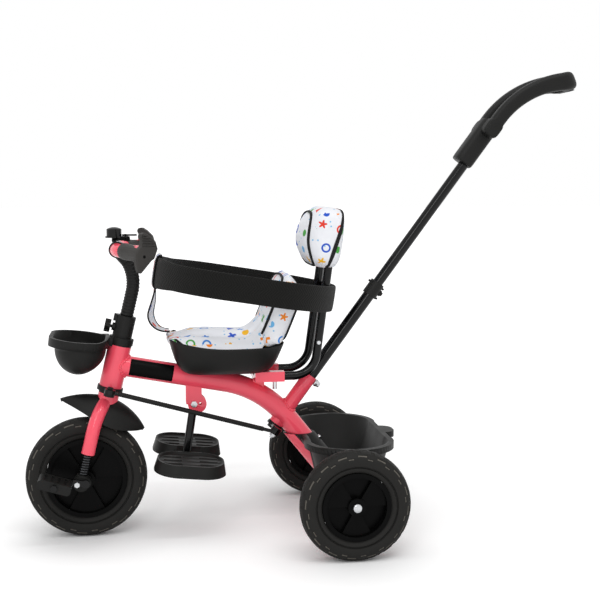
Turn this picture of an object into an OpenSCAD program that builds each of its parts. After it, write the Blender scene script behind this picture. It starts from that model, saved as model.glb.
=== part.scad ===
// Toddler push-along trike: steel tube frame, sprung front fork, padded child
// seat with a guard ring, two baskets, and a parent handle that steers the
// front wheel through a push rod. Lengths are millimetres, angles degrees.
// X points forwards, Y to the rider's left, Z up from the floor.

/* [Wheels] */
// Front wheel diameter over the tyre
front_wheel_d = 228; // [200:1:250]
// Rear wheel diameter over the tyre
rear_wheel_d = 200; // [180:1:220]
// Tyre width
tyre_w = 44; // [36:1:48]
// Height of the tyre section from rim to tread
tyre_h = 38; // [32:1:44]
// Rounding of the tyre shoulders
tyre_round = 15; // [8:1:17]
// Distance from front axle to rear axle
wheelbase = 479; // [460:1:500]
// Distance between the rear wheels' middle planes
track = 438; // [425:1:470]
// Width of the wheel rims
rim_w = 38; // [30:1:42]
// Thickness of the rim barrel
rim_wall = 8; // [5:1:10]
// Thickness of the wheel disc
disc_t = 6; // [4:1:8]
// Height of the raised petals above the disc
petal_h = 9; // [4:1:11]
// Diameter of the hub bosses
boss_d = 32; // [26:1:36]
// Front axle and pedal crank diameter
front_axle_d = 9; // [8:0.5:10]
// Rear axle diameter
rear_axle_d = 10; // [8:0.5:12]

/* [Head and fork] */
// Backward lean of the steering axis
steer_tilt = 13.5; // [10:0.5:16]
// Length of the head tube
head_len = 81; // [74:1:90]
// Outer diameter of the head tube
head_d = 44; // [40:1:48]
// Wall of the head tube
head_wall = 3; // [2:0.5:3.5]
// Outer diameter of the steerer tube
steerer_d = 29; // [28:0.5:30]
// Head tube's lower end to the axle, along the steering axis
fork_len = 179.3; // [176:0.5:190]
// Axle ahead of the steering axis
fork_rake = 6; // [2:0.5:9]
// Fork legs ahead of the steering axis
leg_lead = 14; // [10:0.5:16]
// Distance between the fork legs' centres
leg_gap = 82; // [80:1:90]
// Fork leg diameter
leg_d = 25; // [22:0.5:26]
// Head tube's lower end to the foot of the legs
leg_foot = 126.7; // [120:0.5:130]
// Diameter of the sliding suspension rods
slider_d = 10; // [8:0.5:11]
// Travel of the front suspension
fork_travel = 12; // [6:1:14]
// Wire of the suspension springs
spring_wire = 2.4; // [1.8:0.1:2.6]
// Outer diameter of the suspension springs
spring_d = 18; // [16:0.5:20]
// Curls of each suspension spring
spring_curls = 8; // [6:1:9]
// Radius of the mudguard's crown about the axle
guard_r = 154; // [150:1:157]
// Width of the mudguard
guard_w = 68; // [50:1:70]
// Length of the mudguard from tip to tip
guard_len = 176; // [150:1:190]

/* [Pedals] */
// Crank length from axle to pedal
crank_len = 55; // [48:1:60]
// Rise of the left crank above level
crank_rise = 10.5; // [0:0.5:20]
// Pedal length
pedal_len = 62; // [54:1:68]
// Pedal width
pedal_w = 50; // [40:1:56]
// Pedal thickness
pedal_t = 18; // [14:1:20]
// Upward tilt of the pedals' front
pedal_tilt = 17; // [0:1:25]

/* [Handlebar] */
// Diameter of the stem
stem_d = 24; // [20:0.5:24.5]
// Straight height of the stem above the head tube's lower end
stem_straight = 185; // [178:1:200]
// Bend radius of the stem
stem_bend_r = 80; // [70:1:90]
// Forward bend of the stem
stem_bend = 55; // [45:1:60]
// Height adjustment of the handlebar
stem_travel = 30; // [10:1:34]
// Handlebar tube diameter
bar_d = 25; // [22:0.5:26]
// Backward sweep of the handlebar
bar_sweep = 32; // [26:1:34]
// Half length of the handlebar along its sweep
bar_half = 131; // [126:1:136]
// Length of the grips
grip_len = 60; // [50:1:62]
// Diameter of the grips
grip_d = 30; // [28:0.5:33]

/* [Frame] */
// Main tube diameter
tube_d = 40; // [36:1:42]
// Wall of the main tube
tube_wall = 2; // [1.5:0.5:3]
// Height of the main tube's root on the head tube
tube_root = 43; // [38:1:46]
// Downward slope of the main tube's front run
tube_drop = 10.5; // [8:0.5:12]
// Downward slope of the main tube's rear run
tube_fall = 51.5; // [48:0.5:55]
// Bend radius of the main tube
tube_bend_r = 200; // [160:5:220]
// Diameter of the rear axle tube
axle_tube_d = 24; // [20:1:28]

/* [Push handle] */
// Backward lean of the push handle
handle_tilt = 36.5; // [33:0.1:39]
// Slope on the main tube's bend where the handle crosses
handle_cross = 49; // [46:0.5:50]
// Lower handle tube diameter
handle_d = 23.5; // [22.5:0.5:24.5]
// Upper handle tube diameter
handle_top_d = 20.5; // [18:0.5:21]
// Diameter of the socket tube on the frame
socket_d = 28.5; // [28:0.5:31]
// Socket tube above the crossing
socket_up = 91; // [80:1:100]
// Socket tube below the crossing
socket_down = 24.5; // [24:0.5:28]
// Lower handle tube above the crossing
handle_up = 309; // [280:1:330]
// Upper handle tube and grip sleeve's foot above the crossing
handle_reach = 601; // [540:1:620]
// Telescoping travel of the upper handle
handle_travel = 180; // [100:5:200]
// Bend radius of the loop grip
loop_bend_r = 183; // [170:1:205]
// Bend of the loop grip
loop_bend = 52; // [44:1:58]
// Distance between the arms of the loop grip
loop_gap = 68; // [60:1:80]
// Diameter of the loop grip's arms
loop_d = 28; // [24:0.5:29]
// Reach of both steering arms from their axes
arm_reach = 36; // [35:0.5:40]
// Diameter of the steering rod
rod_d = 7; // [5:0.5:7.5]

/* [Footrest] */
// Footrest bracket behind the head, along the main tube
bracket_run = 150; // [140:1:165]
// Footrest pivot below the main tube's centre line
pivot_drop = 52; // [48:1:56]
// Length of the footrest post
post_len = 98; // [90:1:105]
// Width of the footrest post
post_w = 16; // [14:1:18]
// Forward lean of the footrest post
post_lean = 8.6; // [5:0.2:10]
// Length of a foot plate
plate_len = 135; // [120:1:140]
// Width of a foot plate
plate_w = 104; // [90:1:108]
// Height of a foot plate's wall
plate_h = 22; // [16:1:26]
// Gap between the two foot plates
plate_gap = 28; // [24:1:40]

/* [Seat] */
// Front edge of the seat pan behind the front axle
pan_front = 156; // [150:1:165]
// Rear edge of the seat pan behind the front axle
pan_rear = 374; // [368:1:380]
// Width of the seat pan
pan_w = 220; // [200:1:235]
// Height of the seat pan's underside
pan_z = 310; // [306:1:314]
// Height of the seat pan's front lip
pan_front_z = 390; // [385:1:396]
// Height of the seat pan's side edge at its lowest
pan_side_z = 369; // [364:1:374]
// Height of the seat pan's rear edge
pan_rear_z = 372; // [366:1:380]
// Wall of the seat pan
pan_wall = 3; // [2.5:0.5:4]
// Diameter of the backrest tube
rail_d = 16.5; // [14:0.5:17]
// Distance between the backrest tube's legs
rail_gap = 90; // [84:1:96]
// Bend radius of the backrest tube
rail_bend_r = 45; // [40:1:50]
// Backward lean of the backrest tube
rail_lean = 7.6; // [6:0.2:9]
// Height of the backrest tube's top
rail_top_z = 556; // [540:1:570]
// Thickness of the back cushion
back_t = 56; // [46:1:58]
// Width of the back cushion
back_w = 186; // [170:1:192]
// Lean of the back cushion
back_lean = 22; // [18:0.5:24]
// Height of the back cushion along its lean
back_h = 164; // [150:1:170]
// Thickness of the headrest
head_t = 87; // [76:1:90]
// Width of the headrest
headrest_w = 168; // [140:1:180]
// Height of the headrest
headrest_h = 117; // [100:1:125]
// Width of the guard ring
ring_w = 252; // [244:1:262]
// Height of the guard ring's band
ring_h = 51; // [44:1:54]
// Thickness of the guard ring's band
ring_t = 9; // [6:0.5:11]
// Front of the guard ring behind the front axle
ring_front = 133; // [126:1:142]
// Downward slope of the guard ring to the rear
ring_slope = 9; // [7:0.2:10]

/* [Baskets] */
// Length of the front basket
front_basket_l = 109; // [100:1:120]
// Width of the front basket
front_basket_w = 172; // [150:1:190]
// Wall of the baskets
basket_wall = 2.5; // [2:0.5:3.5]
// Length of the rear basket at its rim
rear_basket_l = 166; // [160:1:176]
// Width of the rear basket at its rim
rear_basket_w = 336; // [300:1:344]
// Depth of the rear basket
rear_basket_h = 74; // [60:1:84]

/* [Hidden] */
$fn = 64;

// Colours of the photographed object
pink = "#e8506e";
black = "#1c1c1e";
rubber = "#262626";
steel = "#c9ccd0";
print = "#eef0f4";

// Clearances and overruns
over = 1;            // overrun of every cut
run_fit = 0.05;      // radial clearance of a turning or sliding fit
seat_gap = 0.3;      // gap between neighbours that only rest on each other

// Points of the steering axis and the main tube, as [X, Z]
front_r = front_wheel_d / 2;
rear_r = rear_wheel_d / 2;
head_x = -fork_rake * cos(steer_tilt) - fork_len * sin(steer_tilt);
head_z = front_r - fork_rake * sin(steer_tilt) + fork_len * cos(steer_tilt);
root = [head_x - tube_root * sin(steer_tilt), head_z + tube_root * cos(steer_tilt)];
rear = [-wheelbase, rear_r];
front_way = [-cos(tube_drop), -sin(tube_drop)];
rear_way = [-cos(tube_fall), -sin(tube_fall)];
function cross2(a, b) = a[0] * b[1] - a[1] * b[0];
corner_run = cross2(rear - root, rear_way) / cross2(front_way, rear_way);
corner = root + corner_run * front_way;
tube_tangent = tube_bend_r * tan((tube_fall - tube_drop) / 2);
front_run = corner_run - tube_tangent;
rear_run = norm(rear - corner) - tube_tangent;
bend_start = root + front_run * front_way;
bend_end = corner + tube_tangent * rear_way;
bend_centre = bend_start + tube_bend_r * [sin(tube_drop), -cos(tube_drop)];
function bend_point(slope) = bend_centre + tube_bend_r * [-sin(slope), cos(slope)];
cross_point = bend_point(handle_cross);

// Height of the main tube's centre line and its slope at a place x
function tube_line(x) = x > bend_start[0]
    ? root[1] + (x - root[0]) * tan(tube_drop)
    : bend_centre[1] + sqrt(tube_bend_r ^ 2 - (x - bend_centre[0]) ^ 2);
function tube_slope(x) = x > bend_start[0] ? tube_drop : asin((bend_centre[0] - x) / tube_bend_r);

// Sizes of the headset, counted up the steering axis from the head tube's foot
cup_flange_t = 9;
cup_flange_d = 49;
cup_spigot = 14;
top_flange_t = 3;
collar_t = 12;
collar_d = 47;
collar_z = head_len + top_flange_t + seat_gap;
sleeve_z = collar_z + collar_t;
sleeve_len = 42;
sleeve_d = 37;
sleeve_grip = 20;      // part of the sleeve that grips the stem
steerer_top = sleeve_z + sleeve_len - sleeve_grip;
stem_foot = head_len - 30;
steerer_r = steerer_d / 2;
head_bore_r = head_d / 2 - head_wall;
stem_r = stem_d / 2;

// Sizes of the fork
arm_t = 4;
arm_z = -cup_flange_t - seat_gap - arm_t;
crown_d = 40;
crown_len = 28;
crown_mid = arm_z - 13;
leg_r = leg_d / 2;
leg_turn = 70;
leg_out = norm([leg_lead, leg_gap / 2]);
leg_aim = atan2(leg_gap / 2, leg_lead);
leg_bend_r = leg_out / (1 - cos(leg_turn));
leg_top = crown_mid - leg_bend_r * sin(leg_turn);
slider_r = slider_d / 2;
slider_in = 32;        // slider inside the leg at rest
slider_top = -leg_foot + slider_in;
slider_room = 3;       // bore left above the slider at full travel
spring_seat_t = 3;
spring_seat_d = 23;
carrier_d = 30;
carrier_drop = 3;      // carrier boss below the axle
carrier_w = 24;
axle_boss_d = 20;
spring_seat_z = -fork_len - carrier_drop + carrier_d / 2;

// Sizes of the wheels
front_rim_r = front_r - tyre_h;
rear_rim_r = rear_r - tyre_h;
boss_r = boss_d / 2;
petals = 3;
petal_spread = 58;
petal_from = -30;
rear_mid = track / 2;
wheel_boss_half = leg_gap / 2 - carrier_w / 2 - seat_gap;
cap_d = 15;
cap_t = 6;
rear_boss_half = rim_w / 2 - 1;
axle_tube_half = rear_mid - rear_boss_half - seat_gap;

// Sizes of the crank and pedals
crank_t = 7;
crank_w = 15;
crank_web = 11;
crank_y = leg_gap / 2 + carrier_w / 2 + 2;
pedal_y = crank_y + crank_t + 2;
spindle_d = 8;
nut_d = 13;
nut_t = 6;
pedal_round = 7;
rib_count = 4;
rib_gap = 5;
rib_depth = 2.5;

// Sizes of the handlebar
stem_end = [stem_bend_r * (1 - cos(stem_bend)), stem_straight + stem_bend_r * sin(stem_bend)];
clamp_d = 30;
clamp_w = 30;
bar_ahead = bar_d / 2 + seat_gap;
bar_mid = stem_end + bar_ahead * [sin(stem_bend), cos(stem_bend)];
bar_r = bar_d / 2;
grip_r = grip_d / 2;
shield_t = 6;
shield_w = 47;
shield_drop = 44;
ridge_count = 7;
ridge_t = 2;
ridge_h = 1.2;
bell_d = 28;
bell_h = 17;
bell_base_d = 33;
bell_strap_w = 12;
bell_strap_t = 3;
bell_post_d = 9;
bell_post_h = 7;
lever_len = 17;
lever_t = 3;
lever_w = 6;
lever_pin_d = 4;
lever_pad_d = 9;

// Sizes of the push handle, counted up its axis from the crossing
handle_r = handle_d / 2;
handle_top_r = handle_top_d / 2;
bush_t = 1.5;
bush_d = 30;
crank_plate_t = 5;
crank_z = -socket_down - bush_t - seat_gap;
foot_rise = 6;         // lower tube below the crank plate
handle_foot = crank_z - crank_plate_t - foot_rise;
crank_ring_d = 32;
collar_len = 30;
handle_collar_d = 29;
collar_over = 6;       // collar above the lower tube
insert_len = 110;      // upper tube inside the lower one when drawn out
button_d = 8;
button_rise = 3;
grip_sleeve_d = 41;
grip_sleeve_len = 104;
loop_bar_d = 36;
loop_root_rise = 0.6;   // root of the loop stands proud of its arms
grip_lead = 4;          // grip ahead of the upper tube

// Sizes of the steering rod
eye_d = 20;
eye_t = 9;
pin_d = 6;
rod_head_t = 4;
rod_head_d = 11;
open_fit = 0.6;        // play of the rod's rear eye about its pin
eye_fit = 0.1;         // radial clearance of its front eye, which swivels a little

// Sizes of the footrest
bracket_t = 3;
bracket_neck = 30;
bracket_round = 18;
post_t = 14;
post_eye_rise = 0.6;    // post's eye stands proud of its edges
bolt_d = 8;
bolt_head_t = 4;
bolt_head_d = 13;
hole_d = 6;
hole_back = 12.5;
plate_wall = 3;
plate_round = 46;
plate_taper = 5;
bridge_t = 14;
bridge_l = 44;

// Sizes of the seat
stub_w = 19;
stub_len = 56;
stub_end = pan_rear + 1;
stub_z = pan_z - 4;
rail_r = rail_d / 2;
rail_in = 40;          // backrest tube inside the stubs
cross_t = 9;
cross_w = 22;
pan_round_share = 0.42;
pan_steps = 18;
pan_points = 14;
crown_room = 2.6;       // flat facets of the pan above the tube's round top
pad_gap = 2.3;          // pad above the pan's facets
seat_bolt_d = 9;

// Sizes of the baskets
rim_band_t = 4;
rim_band_h = 16;
rear_basket_z = rear_r + axle_tube_d / 2 + seat_gap;
rear_back = 15;         // middle of the rear basket behind the axle
rear_basket_x = -wheelbase - rear_back;
rear_corner_r = 84;
rear_taper = 20;
rear_lip = 8;
rear_lip_t = 12;
clip_wall = 4;
tab_l = 22;
tab_w = 60;

// Shift that puts the origin under the middle of the whole length
rest_tip = [cross_point[0], cross_point[1]];
loop_end_x = -loop_bend_r * (1 - cos(loop_bend));
loop_start_z = handle_reach + grip_sleeve_len;
loop_end_z = loop_start_z + loop_bend_r * sin(loop_bend);
tail_x = rest_tip[0] + (loop_end_x + grip_lead) * cos(handle_tilt) - loop_end_z * sin(handle_tilt) - loop_bar_d / 2;
origin_x = -(front_r + tail_x) / 2;

// Frames of the moving assemblies
module place() translate([origin_x, 0, 0]) children();
module at_head() translate([head_x, 0, head_z]) rotate([0, -steer_tilt, 0]) children();
module at_handle() translate([rest_tip[0], 0, rest_tip[1]]) rotate([0, -handle_tilt, 0]) children();
module at_front_axle() translate([0, 0, front_r]) children();
module at_rear_axle() translate([-wheelbase, 0, rear_r]) children();
module along_y() rotate([-90, 0, 0]) children();
module both_sides() {
    children();
    mirror([0, 1, 0]) children();
}

// Shapes that repeat
module pipe(d, wall, h) {
    difference() {
        cylinder(d = d, h = h);
        translate([0, 0, -over]) cylinder(d = d - 2 * wall, h = h + 2 * over);
    }
}
module ring_profile(d, wall) {
    difference() {
        circle(d = d);
        circle(d = d - 2 * wall);
    }
}
module stadium(l, w) {
    square([l - w, w], center = true);
    for (side = [-1, 1]) translate([side * (l - w) / 2, 0]) circle(d = w);
}
module rounded(l, w, r) {
    square([l - 2 * r, w], center = true);
    square([l, w - 2 * r], center = true);
    for (x = [-1, 1], y = [-1, 1]) translate([x * (l / 2 - r), y * (w / 2 - r)]) circle(r);
}
// Box with round corners that widens upwards, sized at its top
module tub(l, w, h, r, taper) {
    half_l = l / 2 - r;
    half_w = w / 2 - r;
    foot = r - taper;
    for (x = [-1, 1], y = [-1, 1]) translate([x * half_l, y * half_w, 0]) cylinder(r1 = foot, r2 = r, h = h);
    rotate([90, 0, 0]) linear_extrude(2 * half_w, center = true)
        polygon([[-half_l - foot, 0], [half_l + foot, 0], [half_l + r, h], [-half_l - r, h]]);
    rotate([90, 0, 90]) linear_extrude(2 * half_l, center = true)
        polygon([[-half_w - foot, 0], [half_w + foot, 0], [half_w + r, h], [-half_w - r, h]]);
}
// Slightly raised band where straight and bent lengths of one tube meet
band_h = 0.2;
band_l = 3;
module band(d) cylinder(d = d + 2 * band_h, h = band_l, center = true);
// Solid through closed rings of equally many points
module loft(rings) {
    n = len(rings[0]);
    m = len(rings);
    points = [for (ring = rings) for (p = ring) p];
    sides = [for (i = [0:m - 2]) for (j = [0:n - 1]) let (k = (j + 1) % n)
        for (face = [[i * n + j, i * n + k, (i + 1) * n + k], [i * n + j, (i + 1) * n + k, (i + 1) * n + j]])
            face];
    first = [for (j = [0:n / 2 - 2]) for (face = [[j, n - 2 - j, j + 1], [j, n - 1 - j, n - 2 - j]]) face];
    last = [for (j = [0:n / 2 - 2], face = [[j, j + 1, n - 2 - j], [j, n - 2 - j, n - 1 - j]])
        [for (k = face) (m - 1) * n + k]];
    polyhedron(points, concat(sides, first, last));
}

// Main frame: one welding of head tube, main tube, axle tube, handle socket,
// seat stubs and footrest bracket
module tube_path(d) {
    translate([root[0], 0, root[1]]) rotate([0, -90 - tube_drop, 0]) cylinder(d = d, h = front_run);
    translate([bend_centre[0], 0, bend_centre[1]]) rotate([90, 0, 0]) rotate([0, 0, 90 + tube_drop])
        rotate_extrude(angle = tube_fall - tube_drop) translate([tube_bend_r, 0]) circle(d = d);
    translate([bend_end[0], 0, bend_end[1]]) rotate([0, -90 - tube_fall, 0]) cylinder(d = d, h = rear_run);
    translate([bend_start[0], 0, bend_start[1]]) rotate([0, -90 - tube_drop, 0]) band(d);
    translate([bend_end[0], 0, bend_end[1]]) rotate([0, -90 - tube_fall, 0]) band(d);
}
pivot = root + bracket_run * front_way - [0, pivot_drop];
bracket_y = post_t / 2 + seat_gap + bracket_t / 2;
module bracket_plate() {
    translate([pivot[0], bracket_y, pivot[1]]) rotate([90, 0, 0]) linear_extrude(bracket_t, center = true) {
        translate([-bracket_neck / 2, 0]) square([bracket_neck, pivot_drop - tube_d / 4]);
        translate([-hole_back / 2, 0]) circle(bracket_round);
    }
}
module seat_stub() {
    translate([-stub_end, rail_gap / 2 - stub_w / 2, stub_z - stub_w / 2]) cube([stub_len, stub_w, stub_w]);
}
module seat_bracket() {
    both_sides() seat_stub();
    translate([-stub_end + stub_len - cross_w, -rail_gap / 2, stub_z - stub_w / 2])
        cube([cross_w, rail_gap, cross_t]);
    translate([-stub_end + stub_len - cross_w, -cross_w / 2, tube_line(-stub_end + stub_len)])
        cube([cross_w, cross_w, stub_z - tube_line(-stub_end + stub_len)]);
    translate([-stub_end + over, -rail_gap / 2, stub_z - stub_w / 2]) cube([cross_w, rail_gap, cross_t / 2]);
}
module main_frame() color(pink) place() difference() {
    union() {
        at_head() cylinder(d = head_d, h = head_len);
        tube_path(tube_d);
        at_rear_axle() along_y() translate([0, 0, -axle_tube_half]) cylinder(d = axle_tube_d, h = 2 * axle_tube_half);
        at_handle() translate([0, 0, -socket_down]) cylinder(d = socket_d, h = socket_down + socket_up);
        both_sides() bracket_plate();
        seat_bracket();
    }
    difference() {
        tube_path(tube_d - 2 * tube_wall);
        at_head() cylinder(d = head_d, h = head_len);
        at_rear_axle() along_y() translate([0, 0, -axle_tube_half])
            cylinder(d = axle_tube_d, h = 2 * axle_tube_half);
        at_handle() translate([0, 0, -socket_down]) cylinder(d = socket_d, h = socket_down + socket_up);
    }
    at_head() translate([0, 0, -over]) cylinder(r = head_bore_r, h = head_len + 2 * over);
    at_rear_axle() along_y() translate([0, 0, -axle_tube_half - over])
        cylinder(d = rear_axle_d + 2 * run_fit, h = 2 * (axle_tube_half + over));
    at_handle() translate([0, 0, -socket_down - over])
        cylinder(r = handle_r + run_fit, h = socket_down + socket_up + 2 * over);
    translate([pivot[0], 0, pivot[1]]) along_y() cylinder(d = bolt_d + 2 * run_fit, h = pan_w, center = true);
    translate([pivot[0] - hole_back, 0, pivot[1]]) along_y() cylinder(d = hole_d, h = pan_w, center = true);
    both_sides() translate([-stub_end, rail_gap / 2, stub_z]) rotate([0, 90, 0])
        translate([0, 0, -over]) cylinder(r = rail_r + run_fit, h = rail_in + seat_gap + over);
}

// Bushes pressed into both ends of the head tube
module headset_cups() color(black) place() at_head() difference() {
    union() {
        translate([0, 0, -cup_flange_t]) cylinder(d = cup_flange_d, h = cup_flange_t);
        cylinder(r = head_bore_r - run_fit, h = cup_spigot);
        translate([0, 0, head_len]) cylinder(d = head_d, h = top_flange_t);
        translate([0, 0, head_len - cup_spigot]) cylinder(r = head_bore_r - run_fit, h = cup_spigot);
    }
    translate([0, 0, -cup_flange_t - over])
        cylinder(r = steerer_r + run_fit, h = head_len + cup_flange_t + top_flange_t + 2 * over);
}

// Rear axle rod and its pressed caps
module rear_axle() color(steel) place() at_rear_axle() along_y()
    cylinder(d = rear_axle_d, h = 2 * (rear_mid + rear_boss_half + cap_t - seat_gap), center = true);
module axle_caps() color(steel) place() at_rear_axle() both_sides()
    translate([0, rear_mid + rear_boss_half + seat_gap, 0]) along_y() difference() {
        intersection() {
            cylinder(d = cap_d, h = cap_t + over);
            translate([0, 0, cap_t + over - cap_d]) sphere(d = 2 * cap_d);
        }
        translate([0, 0, -over]) cylinder(d = rear_axle_d + 2 * run_fit, h = cap_t + over - seat_gap);
    }

// Plastic bush under the handle socket
module handle_bush() color(black) place() at_handle() translate([0, 0, -socket_down - bush_t]) difference() {
    cylinder(d = bush_d, h = bush_t);
    translate([0, 0, -over]) cylinder(r = handle_r + run_fit, h = bush_t + 2 * over);
}

// Screws that stay on the frame: handle clamp, seat bolt, basket screw
seat_bolt_x = -stub_end + cross_w / 2 + over;
seat_bolt_z = tube_line(seat_bolt_x) + tube_d / 2 / cos(tube_slope(seat_bolt_x))
    + seat_bolt_d / 2 * tan(tube_slope(seat_bolt_x)) + seat_gap;
module frame_bolts() color(steel) place() {
    at_handle() translate([-socket_d / 2 - run_fit, 0, socket_up - bolt_head_d / 2]) rotate([0, -90, 0])
        cylinder(d = bolt_head_d, h = bolt_head_t, $fn = 6);
    translate([seat_bolt_x, 0, seat_bolt_z]) cylinder(d = seat_bolt_d, h = stub_z - stub_w / 2 - seat_bolt_z);
    at_clip_screw() cylinder(d = screw_d, h = screw_t);
}

// Seat pan: a boat-shaped shell that sits astride the main tube
function pan_u(x) = (-x - pan_front) / (pan_rear - pan_front);
function pan_x(u) = -pan_front - u * (pan_rear - pan_front);
function pan_rim(u) = u < 0.5
    ? pan_side_z + (pan_front_z - pan_side_z) * (1 - 2 * u) ^ 2
    : pan_side_z + (pan_rear_z - pan_side_z) * (2 * u - 1) ^ 2;
function pan_half(u) = pan_w / 2 * (1 - abs(2 * u - 1) ^ 4 * pan_round_share);
function pan_floor(u) = pan_z + (pan_rim(u) - pan_z) * abs(2 * u - 1) ^ 3.2;
function pan_outer(u, v) = pan_floor(u) + (pan_rim(u) - pan_floor(u)) * abs(v) ^ 3.5;
// Top of the main tube with its clearance, at a place beside its middle
function tube_crown(x, y) = abs(y) < tube_d / 2
    ? tube_line(x) + sqrt(tube_d ^ 2 / 4 - y ^ 2) / cos(tube_slope(x)) + crown_room : pan_z;
function pan_under(u, v) = max(pan_outer(u, v), tube_crown(pan_x(u), v * pan_half(u)));
function pan_inner(u, v) = pan_under(u, v) + pan_wall;
function pan_span(k) = -1 + 2 * k / pan_points;
module seat_pan() color(black) place() loft([
    for (i = [0:pan_steps]) let (u = i / pan_steps, x = pan_x(u), w = pan_half(u)) concat(
        [for (k = [0:pan_points]) let (v = pan_span(k)) [x, v * w, pan_under(u, v)]],
        [for (k = [pan_points:-1:0]) let (v = pan_span(k)) [x, v * (w - pan_wall), pan_inner(u, v)]]
    )
]);

// Seat cushion: fills the pan, crowned, with drawn-in edges and two channels
seat_crown = 25;        // middle of the pad above the pan's rim
seat_channel_share = 0.14;
seat_line_share = 0.45;
seat_soft_share = 0.07;
seat_skirt = 2;
seat_swell = 5;
function swell(t) = max(0, 1 - abs(t) ^ seat_swell);
function seat_foot(u, v) = pan_inner(u, v) + pad_gap + seat_skirt;
function seat_top(u, v) = seat_foot(u, v) + (pan_rim(u) + seat_crown - seat_foot(u, v))
    * swell(v * pan_points / (pan_points - 2)) * swell((2 * u - 1) * pan_steps / (pan_steps - 2))
    * (1 - seat_channel_share * exp(-((abs(v) - seat_line_share) / seat_soft_share) ^ 2));
module seat_cushion() color(print) place() loft([
    for (i = [1:pan_steps - 1]) let (u = i / pan_steps, x = pan_x(u), w = pan_half(u) - pan_wall) concat(
        [for (k = [1:pan_points - 1]) let (v = pan_span(k)) [x, v * w, pan_inner(u, v) + pad_gap]],
        [for (k = [pan_points - 1:-1:1]) let (v = pan_span(k)) [x, v * w, seat_top(u, v)]]
    )
]);
// Room that the pan and its pad take up
module seat_room() loft([
    for (i = [0:pan_steps]) let (u = i / pan_steps, x = pan_x(u), w = pan_half(u)) concat(
        [for (k = [0:pan_points]) let (v = pan_span(k)) [x, v * w, pan_z - pan_wall]],
        [for (k = [pan_points:-1:0]) let (v = pan_span(k)) [x, v * w, seat_top(u, v) + seat_skirt]]
    )
]);

// Upright cushion of a given size: crowned faces, drawn-in edges
cushion_points = 24;
cushion_steps = 14;
crown_back_share = 0.1;
function block_ring(w, t, crown, z) = [
    for (k = [0:cushion_points - 1]) let (a = 360 * k / cushion_points, c = cos(a), s = sin(a),
        y = sign(c) * abs(c) ^ 0.4, x = sign(s) * abs(s) ^ 0.55)
        [x * (t / 2 + (x > 0 ? crown : crown * crown_back_share) * (1 - y ^ 2)), y * w / 2, z]
];
function draw_in(t, p) = (1 - abs(t) ^ p) ^ (1 / p);
module block_cushion(w, t, h, crown) loft([
    for (i = [0:cushion_steps]) let (f = -1 + 2 * i / cushion_steps, g = max(draw_in(f, 6), 0.72))
        block_ring(w * g, t * max(draw_in(f, 4), 0.6), crown * (1 - f ^ 2), h / 2 * f)
]);
back_place_share = 0.83;
back_lift = 22;
back_crown = 8;
back_foot = [pan_x(back_place_share), pan_inner(back_place_share, 0) + back_lift];
module back_cushion() color(print) place()
    difference() {
        translate([back_foot[0], 0, back_foot[1]]) rotate([0, -back_lean, 0])
            translate([0, 0, back_h / 2]) block_cushion(back_w, back_t - back_crown, back_h, back_crown);
        seat_room();
    }

// Backrest tube: both legs start in the stubs and join under the headrest
rail_corner_x = -stub_end - 18 - rail_bend_r * tan((90 - rail_lean) / 2);
rail_turn = 90 - rail_lean;
rail_tangent = rail_bend_r * tan(rail_turn / 2);
rail_up = (rail_top_z - stub_z) / cos(rail_lean) - rail_tangent - rail_gap / 2;
module rail_leg() {
    translate([rail_corner_x + rail_tangent, 0, stub_z]) rotate([0, 90, 0]) {
        cylinder(r = rail_r, h = -stub_end + rail_in - rail_corner_x - rail_tangent);
        band(rail_d);
    }
    translate([rail_corner_x + rail_tangent, 0, stub_z + rail_bend_r]) rotate([90, 0, 0])
        rotate([0, 0, 270 - rail_turn]) rotate_extrude(angle = rail_turn) translate([rail_bend_r, 0]) circle(rail_r);
    translate([rail_corner_x, 0, stub_z]) rotate([0, -rail_lean, 0]) translate([0, 0, rail_tangent]) {
        cylinder(r = rail_r, h = rail_up);
        band(rail_d);
        translate([0, 0, rail_up]) band(rail_d);
    }
}
module back_rail() color(black) place() {
    both_sides() translate([0, rail_gap / 2, 0]) rail_leg();
    translate([rail_corner_x, 0, stub_z]) rotate([0, -rail_lean, 0]) translate([0, 0, rail_tangent + rail_up])
        rotate([90, 0, 90]) rotate_extrude(angle = 180) translate([rail_gap / 2, 0]) circle(rail_r);
}

// Headrest: block cushion slipped over the top of the backrest tube
rest_ahead = 9;
rest_sink = 2;
rest_crown = 27;
module at_rail() translate([rail_corner_x, 0, stub_z]) rotate([0, -rail_lean, 0]) children();
module rail_top(r) at_rail() {
    translate([0, 0, rail_tangent + rail_up]) rotate([90, 0, 90])
        rotate_extrude(angle = 180) translate([rail_gap / 2, 0]) circle(r);
    both_sides() translate([0, rail_gap / 2, rail_tangent + rail_up - rest_sink - over])
        cylinder(r = r, h = rest_sink + over);
}
module headrest() color(print) place() difference() {
    at_rail() translate([rest_ahead, 0, rail_tangent + rail_up - rest_sink + headrest_h / 2])
        block_cushion(headrest_w, head_t - rest_crown, headrest_h, rest_crown);
    rail_top(rail_r + band_h + run_fit);
}

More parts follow.
